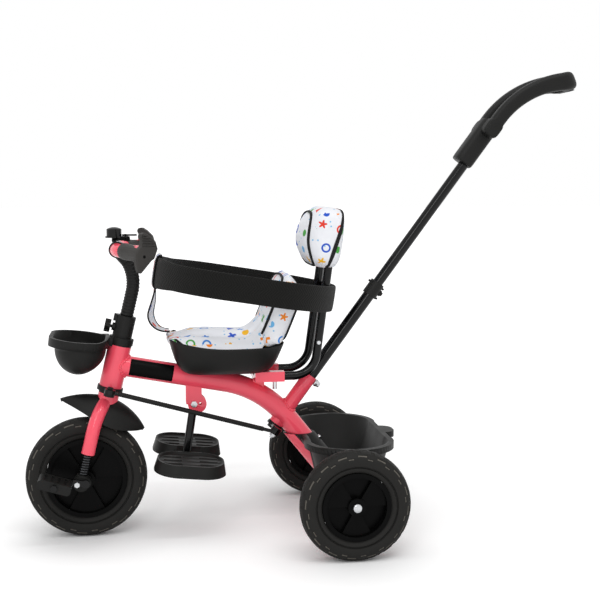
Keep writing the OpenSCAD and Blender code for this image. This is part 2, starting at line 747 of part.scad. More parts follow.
// Guard ring: padded band round the seat that closes behind the backrest tube
ring_front_z = 505;
ring_r = ring_w / 2;
rail_way = [-sin(rail_lean), cos(rail_lean)];
ring_ahead = [cos(ring_slope), sin(ring_slope)];
ring_up = [-sin(ring_slope), cos(ring_slope)];
ring_tip = [-ring_front, ring_front_z];
rail_start = [rail_corner_x, stub_z];
rail_climb = ((ring_tip - rail_start) * ring_up) / (rail_way * ring_up);
rail_at_ring = (rail_start + rail_climb * rail_way - ring_tip) * ring_ahead;
ring_slack = ring_h / 2 * abs(tan(ring_slope - rail_lean)) + seat_gap;
ring_back = rail_at_ring + sqrt((ring_r - ring_t - rail_r - ring_slack) ^ 2 - rail_gap ^ 2 / 4);
module at_ring() translate([ring_tip[0], 0, ring_tip[1]]) rotate([0, -ring_slope, 0]) children();
module band_section() rotate(90) stadium(ring_h, ring_t);
module guard_ring() color(black) place() at_ring() {
    translate([-ring_r, 0, 0]) rotate(-90) rotate_extrude(angle = 180)
        translate([ring_r - ring_t / 2, 0]) band_section();
    translate([ring_back, 0, 0]) rotate(90) rotate_extrude(angle = 180)
        translate([ring_r - ring_t / 2, 0]) band_section();
    both_sides() translate([ring_back, ring_r - ring_t / 2, 0]) rotate([90, 0, 90])
        linear_extrude(-ring_r - ring_back) band_section();
}

// Crotch strap: a loop round the front of the ring and a tongue to the seat
strap_w = 42;
strap_t = 3;
strap_bulge = 27;
strap_turn = strap_w / ring_r * 180 / PI;
strap_top = ring_tip - ring_t / 2 * ring_ahead - (ring_h / 2 + seat_gap + strap_t / 2) * ring_up;
strap_foot = [-pan_front - pan_wall, pan_front_z + pan_wall + strap_t + seat_gap];
strap_chord = strap_top - strap_foot;
strap_r = (norm(strap_chord) ^ 2 / 4 + strap_bulge ^ 2) / (2 * strap_bulge);
strap_out = [strap_chord[1], -strap_chord[0]] / norm(strap_chord);
strap_centre = (strap_top + strap_foot) / 2 - (strap_r - strap_bulge) * strap_out;
strap_from = atan2(strap_foot[1] - strap_centre[1], strap_foot[0] - strap_centre[0]);
strap_to = atan2(strap_top[1] - strap_centre[1], strap_top[0] - strap_centre[0]);
module crotch_strap() color(print) place() {
    at_ring() translate([-ring_r, 0, 0]) rotate(-strap_turn / 2) rotate_extrude(angle = strap_turn)
        translate([ring_r - ring_t / 2, 0]) rotate(90) difference() {
            stadium(ring_h + 2 * (seat_gap + strap_t), ring_t + 2 * (seat_gap + strap_t));
            stadium(ring_h + 2 * seat_gap, ring_t + 2 * seat_gap);
        }
    translate([strap_centre[0], 0, strap_centre[1]]) rotate([90, 0, 0]) rotate(strap_from)
        rotate_extrude(angle = strap_to - strap_from) translate([strap_r, 0])
            square([strap_t, strap_w], center = true);
}

// Rear basket: open tub on the axle tube with a sleeve round the main tube
screw_d = 9;
screw_t = 3;
screw_share = 0.5;
clip_r = tube_d / 2 + seat_gap + clip_wall;
module rear_run_rod(r) translate([bend_end[0], 0, bend_end[1]]) rotate([0, -90 - tube_fall, 0])
    translate([0, 0, -tube_bend_r / 2]) cylinder(r = r, h = rear_run + tube_bend_r);
module at_clip_screw() translate([bend_end[0], 0, bend_end[1]]) rotate([0, -90 - tube_fall, 0])
    translate([clip_r, 0, rear_run * screw_share]) rotate([0, 90, 0]) children();
module rear_basket() color(black) place() difference() {
    union() {
        translate([rear_basket_x, 0, rear_basket_z]) {
            difference() {
                union() {
                    tub(rear_basket_l - 2 * rear_lip, rear_basket_w - 2 * rear_lip, rear_basket_h,
                        rear_corner_r - rear_lip, rear_taper);
                    translate([0, 0, rear_basket_h - rear_lip_t])
                        linear_extrude(rear_lip_t) rounded(rear_basket_l, rear_basket_w, rear_corner_r);
                    translate([-rear_basket_l / 2, 0, rear_basket_h - rear_lip_t])
                        linear_extrude(rear_lip_t) rotate(90) stadium(tab_w, 2 * tab_l);
                }
                translate([0, 0, basket_wall])
                    tub(rear_basket_l - 2 * (rear_lip + basket_wall), rear_basket_w - 2 * (rear_lip + basket_wall),
                        rear_basket_h, rear_corner_r - rear_lip - basket_wall, rear_taper);
            }
        }
        intersection() {
            rear_run_rod(clip_r);
            translate([-2 * wheelbase, -wheelbase, rear_basket_z])
                cube([2 * wheelbase, 2 * wheelbase, rear_basket_h]);
        }
    }
    rear_run_rod(tube_d / 2 + seat_gap);
}

// Fork: steerer, crown and two bent legs with bores for the sliders
module fork_leg(r) {
    rotate(leg_aim) translate([leg_out - leg_bend_r, 0, leg_top]) rotate([90, 0, 0])
        rotate_extrude(angle = leg_turn) translate([leg_bend_r, 0]) circle(r);
    translate([leg_lead, leg_gap / 2, -leg_foot]) cylinder(r = r, h = leg_foot + leg_top);
    translate([leg_lead, leg_gap / 2, leg_top]) band(2 * r);
}
module crown(d, gap) translate([0, 0, crown_mid - crown_len / 2 - gap])
    cylinder(d = d, h = arm_z - crown_mid + crown_len / 2 + gap);
module fork() color(pink) place() at_head() difference() {
    union() {
        translate([0, 0, crown_mid]) cylinder(r = steerer_r, h = steerer_top - crown_mid);
        crown(crown_d, 0);
        both_sides() fork_leg(leg_r);
    }
    translate([0, 0, stem_foot - seat_gap]) cylinder(r = stem_r + run_fit, h = steerer_top);
    both_sides() translate([leg_lead, leg_gap / 2, -leg_foot - over])
        cylinder(r = slider_r + run_fit, h = slider_in + fork_travel + slider_room + over);
}

// Steering arm: plate on the crown with the stud of the steering rod
eye_z = arm_z + arm_t + seat_gap;
module stud() {
    cylinder(d = pin_d, h = arm_t + eye_t + 2 * seat_gap + rod_head_t);
    translate([0, 0, arm_t + eye_t + 2 * seat_gap]) cylinder(d = rod_head_d, h = rod_head_t, $fn = 6);
}
module steering_arm() color(steel) place() at_head() translate([0, 0, arm_z]) {
    difference() {
        linear_extrude(arm_t) {
            circle(d = crown_d);
            translate([-eye_d / 2, 0]) square([eye_d, arm_reach]);
            translate([0, arm_reach]) circle(d = eye_d);
        }
        translate([0, 0, -over]) cylinder(r = steerer_r + run_fit, h = arm_t + 2 * over);
    }
    translate([0, arm_reach, 0]) stud();
}

// Mudguard: leaf cut from an arched hoop about the axle, with a saddle that
// hugs the fork crown
guard_t = 3;
guard_arch = 35.5;
guard_droop = 24;
guard_shift = -6;
saddle_l = 62;
saddle_w = 40;
saddle_h = 22;
leaf_r = (guard_len ^ 2 + guard_w ^ 2) / (4 * guard_w);
module guard_section() intersection() {
    translate([guard_r - guard_arch, 0]) ring_profile(2 * guard_arch, guard_t);
    translate([guard_r - guard_droop, -guard_w]) square([guard_droop, 2 * guard_w]);
}
module mudguard() color(black) place() at_head() difference() {
    union() {
        translate([fork_rake, 0, -fork_len]) intersection() {
            along_y() rotate_extrude() guard_section();
            translate([guard_shift, 0, 0]) linear_extrude(guard_r) intersection_for(side = [-1, 1])
                translate([0, side * (leaf_r - guard_w / 2)]) circle(leaf_r);
        }
        translate([fork_rake - saddle_l / 2, -saddle_w / 2, -fork_len + guard_r - guard_t - saddle_h])
            cube([saddle_l, saddle_w, saddle_h]);
    }
    crown(crown_d + 2 * seat_gap, seat_gap);
    both_sides() fork_leg(leg_r + seat_gap);
}

// Stem sleeve: clamps the stem on the steerer, with a boss for the knob
knob_rise = 17;
knob_boss_d = 15;
knob_boss = 4;
knob_shaft_d = 6;
knob_gap = 3;
knob_d = 17;
knob_t = 11;
knob_wing = 25;
knob_wing_t = 6;
ear_l = 9;
ear_w = 16;
ear_h = 13;
module at_knob() at_head() translate([0, 0, sleeve_z + knob_rise]) rotate([0, 90, 0]) children();
module stem_sleeve() color(black) place() difference() {
    union() {
        at_head() translate([0, 0, sleeve_z]) cylinder(d = sleeve_d, h = sleeve_len);
        at_knob() cylinder(d = knob_boss_d, h = sleeve_d / 2 + knob_boss);
        at_head() translate([0, -ear_w / 2, sleeve_z + sleeve_len - ear_h])
            cube([sleeve_d / 2 + ear_l / 2, ear_w, ear_h]);
    }
    at_head() translate([0, 0, sleeve_z - over]) cylinder(r = steerer_r + run_fit, h = sleeve_len - sleeve_grip + over);
    at_head() translate([0, 0, sleeve_z]) cylinder(r = stem_r + run_fit, h = sleeve_len + over);
    at_knob() cylinder(d = knob_shaft_d + 2 * run_fit, h = sleeve_d);
}
module stem_knob() color(black) place() at_knob() {
    translate([0, 0, steerer_r + seat_gap]) cylinder(d = knob_shaft_d, h = sleeve_d / 2 + knob_boss + knob_gap - steerer_r);
    translate([0, 0, sleeve_d / 2 + knob_boss + knob_gap]) {
        cylinder(d = knob_d, h = knob_t);
        linear_extrude(knob_t) stadium(knob_wing, knob_wing_t);
        linear_extrude(knob_t) rotate(90) stadium(knob_wing, knob_wing_t);
    }
}

// Front basket: round-bottomed bowl on a collar that turns with the fork
collar_mid = collar_z + collar_t / 2;
bowl_r = front_basket_l / 2 - rim_band_t;
bowl_run = front_basket_w - front_basket_l;
bowl_x = head_x - collar_mid * sin(steer_tilt) + collar_d / 2 + front_basket_l / 2 - over;
bowl_z = head_z + collar_mid * cos(steer_tilt) + rim_band_h / 2;
head_room = 0.8;
link_l = 24;
link_w = 36;
module bowl(r, h) intersection() {
    union() {
        for (side = [-1, 1]) translate([0, side * bowl_run / 2, 0]) {
            sphere(r);
            cylinder(r = r, h = h);
        }
        rotate([90, 0, 0]) cylinder(r = r, h = bowl_run, center = true);
        translate([-r, -bowl_run / 2, 0]) cube([2 * r, bowl_run, h]);
    }
    translate([-front_basket_w, -front_basket_w, -front_basket_w])
        cube([2 * front_basket_w, 2 * front_basket_w, front_basket_w + h]);
}
module front_basket() color(black) place() difference() {
    union() {
        at_head() translate([0, 0, collar_z]) cylinder(d = collar_d, h = collar_t);
        translate([bowl_x, 0, bowl_z - rim_band_h]) {
            bowl(bowl_r, rim_band_h);
            linear_extrude(rim_band_h) rotate(90) stadium(front_basket_w, front_basket_l);
            translate([-front_basket_l / 2 - link_l / 2, -link_w / 2, 0]) cube([link_l, link_w, rim_band_h]);
        }
    }
    translate([bowl_x, 0, bowl_z - rim_band_h]) bowl(bowl_r - basket_wall, rim_band_h + over);
    at_head() translate([0, 0, -over]) cylinder(r = steerer_r + run_fit, h = sleeve_z + sleeve_len);
    at_head() translate([0, 0, -over]) cylinder(d = head_d + 2 * head_room, h = collar_z + over);
    at_head() translate([0, 0, sleeve_z]) cylinder(d = collar_d + 2 * link_l, h = sleeve_len);
}

// Axle carriers: sliders in the legs, spring seats and bosses for the axle
module axle_carriers() color(black) place() at_head() both_sides() difference() {
    union() {
        translate([leg_lead, leg_gap / 2, spring_seat_z]) {
            translate([0, 0, -spring_seat_t]) cylinder(d = spring_seat_d, h = spring_seat_t);
            translate([0, 0, -spring_seat_t]) cylinder(r = slider_r, h = slider_top - spring_seat_z + spring_seat_t);
        }
        translate([leg_lead, leg_gap / 2, -fork_len - carrier_drop]) along_y()
            cylinder(d = carrier_d, h = carrier_w, center = true);
        translate([fork_rake, leg_gap / 2, -fork_len]) along_y()
            cylinder(d = axle_boss_d, h = carrier_w, center = true);
    }
    translate([fork_rake, leg_gap / 2, -fork_len]) along_y()
        cylinder(d = front_axle_d + 2 * run_fit, h = carrier_w + 2 * over, center = true);
}

// Suspension springs: one unbroken wire each, with closed ends
spring_rings = 8;
wire_sides = 6;
spring_foot = spring_seat_z + spring_wire / 2 + seat_gap;
spring_top = -leg_foot - spring_wire / 2 - seat_gap;
coil_r = (spring_d - spring_wire) / 2;
spring_rise = (spring_top - spring_foot) / spring_curls;
function coil_point(t) = [coil_r * cos(360 * t), coil_r * sin(360 * t), spring_foot + spring_rise * t];
function wire_ring(t) = let (c = coil_point(t), out = [cos(360 * t), sin(360 * t), 0])
    [for (k = [0:wire_sides - 1]) let (a = 360 * k / wire_sides)
        c + spring_wire / 2 * (cos(a) * out + [0, 0, sin(a)])];
module fork_springs() color(black) place() at_head() both_sides() translate([leg_lead, leg_gap / 2, 0])
    loft([for (i = [0:spring_curls * spring_rings]) wire_ring(i / spring_rings)]);
echo(least_spring_gap = min([for (i = [0:spring_rings])
    norm(coil_point(i / spring_rings) - coil_point(1 + i / spring_rings)) - spring_wire]));

// Wheels: solid tyre and a moulded disc with three raised petals a side
module tyre_section(r) {
    translate([r - tyre_h, -tyre_w / 2 + tyre_round]) square([tyre_h, tyre_w - 2 * tyre_round]);
    translate([r - tyre_h + tyre_round / 2, -tyre_w / 2]) square([tyre_h - 1.5 * tyre_round, tyre_w]);
    for (side = [-1, 1]) {
        translate([r - tyre_round, side * (tyre_w / 2 - tyre_round)]) circle(tyre_round);
        translate([r - tyre_h + tyre_round / 2, side * (tyre_w / 2 - tyre_round / 2)]) circle(tyre_round / 2);
        translate([r - tyre_h, side * (tyre_w / 2 - tyre_round * 0.75) - tyre_round / 4])
            square([tyre_round, tyre_round / 2]);
    }
}
module tyre(r) along_y() rotate(petal_from) rotate_extrude() tyre_section(r);
module petal(rim_r) intersection() {
    difference() {
        circle(rim_r - rim_wall / 2);
        circle(boss_r - over);
    }
    polygon([[0, 0], 2 * rim_r * [cos(petal_spread / 2), sin(petal_spread / 2)],
        2 * rim_r * [cos(petal_spread / 2), -sin(petal_spread / 2)]]);
}
module hub(rim_r, bore_d, boss_half) along_y() rotate(petal_from) difference() {
    union() {
        difference() {
            cylinder(r = rim_r - run_fit, h = rim_w, center = true);
            cylinder(r = rim_r - rim_wall, h = rim_w + 2 * over, center = true);
        }
        cylinder(r = rim_r - rim_wall / 2, h = disc_t, center = true);
        cylinder(r = boss_r, h = 2 * boss_half, center = true);
        for (i = [0:petals - 1]) rotate(360 / petals * i)
            linear_extrude(disc_t + 2 * petal_h, center = true) petal(rim_r);
    }
    cylinder(d = bore_d + 2 * run_fit, h = 2 * (boss_half + over), center = true);
}
module front_hub() color(black) place() at_front_axle() hub(front_rim_r, front_axle_d, wheel_boss_half);
module front_tyre() color(rubber) place() at_front_axle() tyre(front_r);
module rear_wheel_place(side) at_rear_axle() translate([0, side * rear_mid, 0]) children();
module rear_hub_left() color(black) place() rear_wheel_place(1) hub(rear_rim_r, rear_axle_d, rear_boss_half);
module rear_hub_right() color(black) place() rear_wheel_place(-1) hub(rear_rim_r, rear_axle_d, rear_boss_half);
module rear_tyre_left() color(rubber) place() rear_wheel_place(1) tyre(rear_r);
module rear_tyre_right() color(rubber) place() rear_wheel_place(-1) tyre(rear_r);

// Pedal crank: axle, two opposite arms and the pedal spindles
pedal_place = crank_len * [cos(crank_rise), sin(crank_rise)];
module crank_arm() translate([0, crank_y, 0]) along_y() rotate(-crank_rise) {
    linear_extrude(crank_t) {
        circle(d = crank_w);
        translate([0, -crank_web / 2]) square([crank_len, crank_web]);
        translate([crank_len, 0]) circle(d = crank_w);
    }
    translate([crank_len, 0, 0]) {
        cylinder(d = spindle_d, h = pedal_y - crank_y + pedal_w + seat_gap + nut_t);
        translate([0, 0, pedal_y - crank_y + pedal_w + seat_gap]) cylinder(d = nut_d, h = nut_t, $fn = 6);
    }
}
module pedal_crank() color(steel) place() at_front_axle() {
    along_y() cylinder(d = front_axle_d, h = 2 * crank_y, center = true);
    crank_arm();
    rotate(180) mirror([0, 0, 1]) crank_arm();
}
module pedal_body() translate([0, pedal_y, 0]) along_y() rotate(pedal_tilt * -1) difference() {
    linear_extrude(pedal_w) rounded(pedal_len, pedal_t, pedal_round);
    for (i = [0:rib_count - 1], face = [-1, 1])
        translate([(i - (rib_count - 1) / 2) * pedal_len / (rib_count + 1), face * pedal_t / 2, pedal_w / 2])
            cube([rib_gap, 2 * rib_depth, pedal_w - 2 * pedal_round], center = true);
    translate([0, 0, -over]) cylinder(d = spindle_d + 2 * run_fit, h = pedal_w + 2 * over);
}
module pedal_left() color(black) place() at_front_axle()
    translate([pedal_place[0], 0, pedal_place[1]]) pedal_body();
module pedal_right() color(black) place() at_front_axle()
    translate([-pedal_place[0], 0, -pedal_place[1]]) mirror([0, 1, 0]) pedal_body();

// Stem: straight quill and a forward bend
stem_wall = 2;
module stem_path(d, extra) {
    translate([0, 0, stem_foot - extra]) cylinder(d = d, h = stem_straight - stem_foot + extra);
    translate([0, 0, stem_straight]) band(d);
    translate([stem_bend_r, 0, stem_straight]) rotate([90, 0, 0]) rotate(180 - stem_bend)
        rotate_extrude(angle = stem_bend) translate([stem_bend_r, 0]) circle(d = d);
}
module stem() color(black) place() at_head() difference() {
    stem_path(stem_d, 0);
    stem_path(stem_d - 2 * stem_wall, over);
}

// Clamp that joins the stem to the handlebar
clamp_neck_d = 28;
clamp_neck = 16;
module at_bar() at_head() translate([bar_mid[0], 0, bar_mid[1]]) rotate([0, steer_tilt, 0]) children();
module bar_clamp() color(black) place() difference() {
    union() {
        at_bar() along_y() cylinder(d = clamp_d, h = clamp_w, center = true);
        at_head() translate([stem_end[0], 0, stem_end[1]]) rotate([0, stem_bend, 0])
            translate([0, 0, -clamp_neck]) cylinder(d = clamp_neck_d, h = clamp_neck + bar_ahead);
    }
    at_bar() along_y() cylinder(r = bar_r + run_fit, h = 2 * clamp_w, center = true);
    at_head() translate([stem_bend_r, 0, stem_straight]) rotate([90, 0, 0]) rotate(180 - stem_bend)
        rotate_extrude(angle = stem_bend) translate([stem_bend_r, 0]) circle(stem_r + run_fit);
}

// Handlebar: one tube, straight in the clamp and swept back both sides
bar_wall = 2;
bar_flat = clamp_w / 2 + bell_strap_w + 4;
bar_bend_r = 60;
bar_straight = bar_half - bar_flat - bar_bend_r * bar_sweep * PI / 180;
module at_bar_end() translate([-bar_bend_r, bar_flat, 0]) rotate(bar_sweep) translate([bar_bend_r, 0, 0]) along_y()
    children();
module bar_path(d, extra) {
    along_y() cylinder(d = d, h = 2 * bar_flat, center = true);
    both_sides() {
        translate([0, bar_flat, 0]) along_y() band(d);
        translate([-bar_bend_r, bar_flat, 0]) rotate_extrude(angle = bar_sweep) translate([bar_bend_r, 0]) circle(d = d);
        at_bar_end() {
            band(d);
            cylinder(d = d, h = bar_straight + extra);
        }
    }
}
module handlebar() color(pink) place() at_bar() difference() {
    bar_path(bar_d, 0);
    bar_path(bar_d - 2 * bar_wall, over);
}

// Grips: ridged sleeves with a shield-shaped end plate
shield_shares = [[0.1, -1], [-0.1, -0.95], [-0.42, -0.5], [-0.5, 0], [-0.44, 0.4], [-0.2, 0.8], [-0.08, 0.94],
    [0.18, 0.82], [0.4, 0.5], [0.5, 0.05], [0.44, -0.35]];
module grip() at_bar_end() difference() {
    union() {
        translate([0, 0, bar_straight - grip_len]) cylinder(r = grip_r, h = grip_len + seat_gap);
        for (i = [0:ridge_count - 1])
            translate([0, 0, bar_straight - grip_len * (ridge_count - i) / (ridge_count + 1)])
                cylinder(r = grip_r + ridge_h, h = ridge_t);
        translate([0, 0, bar_straight + seat_gap]) rotate(180) linear_extrude(shield_t)
            polygon([for (p = shield_shares) [p[0] * shield_w, p[1] * shield_drop]]);
    }
    translate([0, 0, bar_straight - grip_len - over]) cylinder(r = bar_r + run_fit, h = grip_len + over + seat_gap);
    translate([0, 0, bar_straight]) cylinder(d = hole_d, h = shield_t + 2 * over);
}
module grip_left() color(black) place() at_bar() grip();
module grip_right() color(black) place() at_bar() mirror([0, 1, 0]) grip();

// Bell: strap on the bar, post, base and dome, with a thumb lever behind
bell_mid = clamp_w / 2 + seat_gap + bell_strap_w / 2;
bell_base_t = 3;
bell_foot = bar_r + bell_strap_t / 2;
bell_base_z = bar_r + bell_strap_t + bell_post_h;
lever_x = bell_base_d / 2 + lever_pin_d;
bell_lead = 5;
module bell() color(black) place() at_bar() translate([0, bell_mid, 0]) difference() {
    union() {
        along_y() cylinder(r = bar_r + bell_strap_t, h = bell_strap_w, center = true);
        translate([bell_lead, 0, 0]) {
            translate([0, 0, bell_foot]) cylinder(d = bell_post_d, h = bell_base_z - bell_foot + bell_base_t);
            translate([0, 0, bell_base_z]) {
                cylinder(d = bell_base_d, h = bell_base_t);
                translate([-lever_x, -lever_w, 0]) cube([lever_x, 2 * lever_w, bell_base_t]);
                translate([-lever_x, 0, 0]) cylinder(r = lever_w, h = bell_base_t);
                translate([-lever_x, 0, 0]) cylinder(d = lever_pin_d, h = bell_base_t + lever_t + 3 * seat_gap);
            }
            translate([0, 0, bell_base_z + bell_base_t]) intersection() {
                cylinder(d = bell_d, h = bell_h);
                translate([0, 0, bell_h - bell_d]) sphere(bell_d);
            }
        }
    }
    along_y() cylinder(r = bar_r + run_fit, h = 2 * bell_strap_w, center = true);
}
module bell_lever() color(black) place() at_bar()
    translate([bell_lead - lever_x, bell_mid, bell_base_z + bell_base_t + seat_gap]) difference() {
        union() {
            cylinder(r = lever_w, h = lever_t);
            translate([-lever_len, -lever_w / 2, 0]) cube([lever_len, lever_w, lever_t]);
            translate([-lever_len, 0, 0]) cylinder(d = lever_pad_d, h = lever_t);
        }
        translate([0, 0, -over]) cylinder(d = lever_pin_d + 2 * run_fit, h = lever_t + 2 * over);
    }

// Push handle: lower tube that turns in the socket, with the steering crank
module handle_lower() color(black) place() at_handle() translate([0, 0, handle_foot])
    pipe(handle_d, handle_r - handle_top_r - run_fit, handle_up - handle_foot);
module handle_crank() color(steel) place() at_handle() translate([0, 0, crank_z - crank_plate_t]) {
    linear_extrude(crank_plate_t) difference() {
        union() {
            circle(d = crank_ring_d);
            translate([-eye_d / 2, 0]) square([eye_d, arm_reach]);
            translate([0, arm_reach]) circle(d = eye_d);
        }
        circle(handle_r + run_fit);
    }
    translate([0, arm_reach, arm_t]) mirror([0, 0, 1]) stud();
}

// Collar that locks the telescoping tubes, with its push button
button_boss_d = 12;
button_boss = 17.5;
button_in = 15;
collar_foot = handle_up + collar_over - collar_len;
module at_button() at_handle() translate([0, 0, collar_foot + collar_len / 2]) rotate([0, -90, 0]) children();
module handle_collar() color(black) place() difference() {
    union() {
        at_handle() translate([0, 0, collar_foot]) cylinder(d = handle_collar_d, h = collar_len);
        at_button() cylinder(d = button_boss_d, h = button_boss);
    }
    at_handle() translate([0, 0, collar_foot - over]) cylinder(r = handle_r + run_fit, h = collar_len - collar_over + over);
    at_handle() translate([0, 0, collar_foot]) cylinder(r = handle_top_r + run_fit, h = collar_len + over);
    at_button() cylinder(d = button_d + 2 * run_fit, h = button_boss + over);
}
module handle_button() color(black) place() at_button() translate([0, 0, button_in])
    cylinder(d = button_d, h = button_boss + button_rise - button_in);

// Upper handle tube and loop grip
upper_wall = 1.5;
upper_in = 42;
sleeve_lead = 6;
module handle_upper() color(black) place() at_handle() translate([0, 0, handle_up - insert_len])
    pipe(handle_top_d, upper_wall, handle_reach + upper_in - handle_up + insert_len);
module loop_arm() translate([grip_lead - loop_bend_r, loop_gap / 2, loop_start_z]) rotate([90, 0, 0])
    rotate_extrude(angle = loop_bend) translate([loop_bend_r, 0]) circle(d = loop_d);
module cross_bar(d) {
    along_y() cylinder(d = d, h = loop_gap, center = true);
    both_sides() translate([0, loop_gap / 2, 0]) sphere(d = d);
}
module handle_grip() color(black) place() at_handle() difference() {
    union() {
        translate([sleeve_lead, 0, handle_reach]) cylinder(d = grip_sleeve_d, h = grip_sleeve_len);
        translate([grip_lead, 0, loop_start_z]) cross_bar(loop_d + 2 * loop_root_rise);
        both_sides() loop_arm();
        translate([grip_lead + loop_end_x, 0, loop_end_z]) cross_bar(loop_bar_d);
    }
    translate([0, 0, handle_reach - over]) cylinder(r = handle_top_r + run_fit, h = upper_in + seat_gap + over);
}

// Steering rod: joins the fork's arm to the handle's crank
rod_front = [head_x - (eye_z + eye_t / 2) * sin(steer_tilt), head_z + (eye_z + eye_t / 2) * cos(steer_tilt)];
rear_eye_z = crank_z - crank_plate_t - seat_gap - eye_t;
rod_rear = rest_tip + (rear_eye_z + eye_t / 2) * [-sin(handle_tilt), cos(handle_tilt)];
rod_way = rod_rear - rod_front;
module push_rod() color(black) place() difference() {
    union() {
        at_head() translate([0, arm_reach, eye_z]) cylinder(d = eye_d, h = eye_t);
        at_handle() translate([0, arm_reach, rear_eye_z]) cylinder(d = eye_d, h = eye_t);
        translate([rod_front[0], arm_reach, rod_front[1]]) rotate([0, atan2(rod_way[0], rod_way[1]), 0])
            translate([0, 0, eye_d / 2 - over]) cylinder(d = rod_d, h = norm(rod_way) - eye_d + 2 * over);
    }
    at_head() translate([0, arm_reach, eye_z - eye_t]) cylinder(d = pin_d + 2 * eye_fit, h = 3 * eye_t);
    at_handle() translate([0, arm_reach, rear_eye_z - eye_t]) cylinder(d = pin_d + 2 * open_fit, h = 3 * eye_t);
}

// Footrest: post that swings back on its bolt, with two foot plates
module at_pivot() translate([pivot[0], 0, pivot[1]]) children();
module post_shape(gap) rotate([0, -post_lean, 0]) translate([0, 0, -post_len])
    linear_extrude(post_len) stadium(post_w + 2 * gap, post_t + 2 * gap);
module footrest_post() color(black) place() at_pivot() difference() {
    union() {
        post_shape(0);
        along_y() cylinder(d = post_w + 2 * post_eye_rise, h = post_t - 2 * post_eye_rise, center = true);
    }
    along_y() cylinder(d = bolt_d + 2 * run_fit, h = post_t + 2 * over, center = true);
}
module footrest_bolt() color(steel) place() at_pivot() {
    bolt_half = bracket_y + bracket_t / 2 + seat_gap;
    along_y() cylinder(d = bolt_d, h = 2 * bolt_half, center = true);
    both_sides() translate([0, bolt_half, 0]) along_y() cylinder(d = bolt_head_d, h = bolt_head_t, $fn = 6);
}
plate_rim = 4;
deck_t = 4;
bar_count = 3;
bar_l = 34;
bar_t = 5;
bar_h = 1.5;
post_foot = post_len * [sin(post_lean), -cos(post_lean)];
plate_top = post_foot[1] + 7;
plate_x = post_foot[0] - 4;
module foot_plate() translate([plate_x, plate_gap / 2 + plate_w / 2, plate_top]) {
    difference() {
        mirror([0, 0, 1]) tub(plate_len, plate_w, plate_h, plate_round, plate_taper);
        translate([0, 0, -plate_rim]) linear_extrude(plate_h)
            rounded(plate_len - 2 * (plate_taper + plate_wall), plate_w - 2 * (plate_taper + plate_wall),
                plate_round - plate_taper - plate_wall);
        translate([0, 0, -plate_rim - deck_t]) mirror([0, 0, 1])
            tub(plate_len - 2 * plate_wall, plate_w - 2 * plate_wall, plate_h, plate_round - plate_wall, plate_taper);
    }
    for (end = [-1, 1], i = [0:bar_count - 1])
        translate([end * plate_len / 4, (i - (bar_count - 1) / 2) * plate_w / (bar_count + 2), -plate_rim + bar_h / 2])
            cube([bar_l, bar_t, bar_h], center = true);
}
module foot_plates() color(black) place() at_pivot() difference() {
    union() {
        both_sides() foot_plate();
        translate([post_foot[0] - bridge_l / 2, -plate_gap, plate_top - plate_h])
            cube([bridge_l, 2 * plate_gap, bridge_t]);
    }
    post_shape(run_fit);
}

main_frame();
headset_cups();
rear_axle();
axle_caps();
handle_bush();
frame_bolts();
seat_pan();
seat_cushion();
back_cushion();
back_rail();
headrest();
guard_ring();
crotch_strap();
rear_basket();
fork();
steering_arm();
mudguard();
stem_sleeve();
front_basket();
stem_knob();
axle_carriers();
fork_springs();
front_hub();
front_tyre();
pedal_crank();
pedal_left();
pedal_right();
stem();
bar_clamp();
handlebar();
grip_left();
grip_right();
bell();
bell_lever();
rear_hub_left();
rear_tyre_left();
rear_hub_right();
rear_tyre_right();
handle_lower();
handle_crank();
handle_collar();
handle_button();
handle_upper();
handle_grip();
push_rod();
footrest_post();
foot_plates();
footrest_bolt();
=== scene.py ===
# %% [markdown]
# A toddler's push-along trike: a pink steel frame on three foam wheels, a padded seat with a guard ring,
# two baskets, a folding footrest and a long handle that steers the front wheel through a rod.
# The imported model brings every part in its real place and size. This lesson adds what a solid model can't show,
# finishes, fabric, tread, seams and small fasteners, and redraws a few mouldings closer to the photograph.

# %% Load the frame
import math
import bmesh
import bpy
from mathutils import Matrix, Vector


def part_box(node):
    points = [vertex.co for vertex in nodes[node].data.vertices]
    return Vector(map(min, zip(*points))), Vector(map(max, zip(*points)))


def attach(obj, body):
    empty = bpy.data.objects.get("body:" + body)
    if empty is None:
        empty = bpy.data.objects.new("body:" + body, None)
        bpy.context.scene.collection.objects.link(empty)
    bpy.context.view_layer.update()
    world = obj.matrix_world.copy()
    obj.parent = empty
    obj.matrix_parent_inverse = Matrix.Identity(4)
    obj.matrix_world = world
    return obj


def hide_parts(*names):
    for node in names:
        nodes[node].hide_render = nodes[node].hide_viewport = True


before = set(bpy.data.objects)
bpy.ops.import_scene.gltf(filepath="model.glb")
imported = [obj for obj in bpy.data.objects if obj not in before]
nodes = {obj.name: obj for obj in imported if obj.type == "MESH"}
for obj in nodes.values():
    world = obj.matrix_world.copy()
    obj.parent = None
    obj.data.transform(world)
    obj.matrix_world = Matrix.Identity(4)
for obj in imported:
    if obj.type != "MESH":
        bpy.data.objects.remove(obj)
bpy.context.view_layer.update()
scene = bpy.context.scene
print("solid parts loaded:", len(nodes))

# %% [markdown]
# The camera comes before the looks, because it decides which details can be seen. Its place was found from
# the wheels and tubes of the photograph: a little to the front, a little above, about two metres away.

# %% Camera
yaw, pitch = math.radians(8.70477), math.radians(5.99778)
aim = Vector((-math.sin(yaw) * math.cos(pitch), -math.cos(yaw) * math.cos(pitch), -math.sin(pitch)))
camera = bpy.data.objects.new("camera", bpy.data.cameras.new("camera"))
camera.location = (0.326959, 2.08183, 0.66742)
camera.rotation_euler = aim.to_track_quat("-Z", "Y").to_euler()
camera.data.sensor_width = 36
camera.data.lens = 65.496
scene.collection.objects.link(camera)
scene.camera = camera
scene.view_settings.view_transform = "Standard"
print("camera looks along", tuple(round(c, 3) for c in aim))

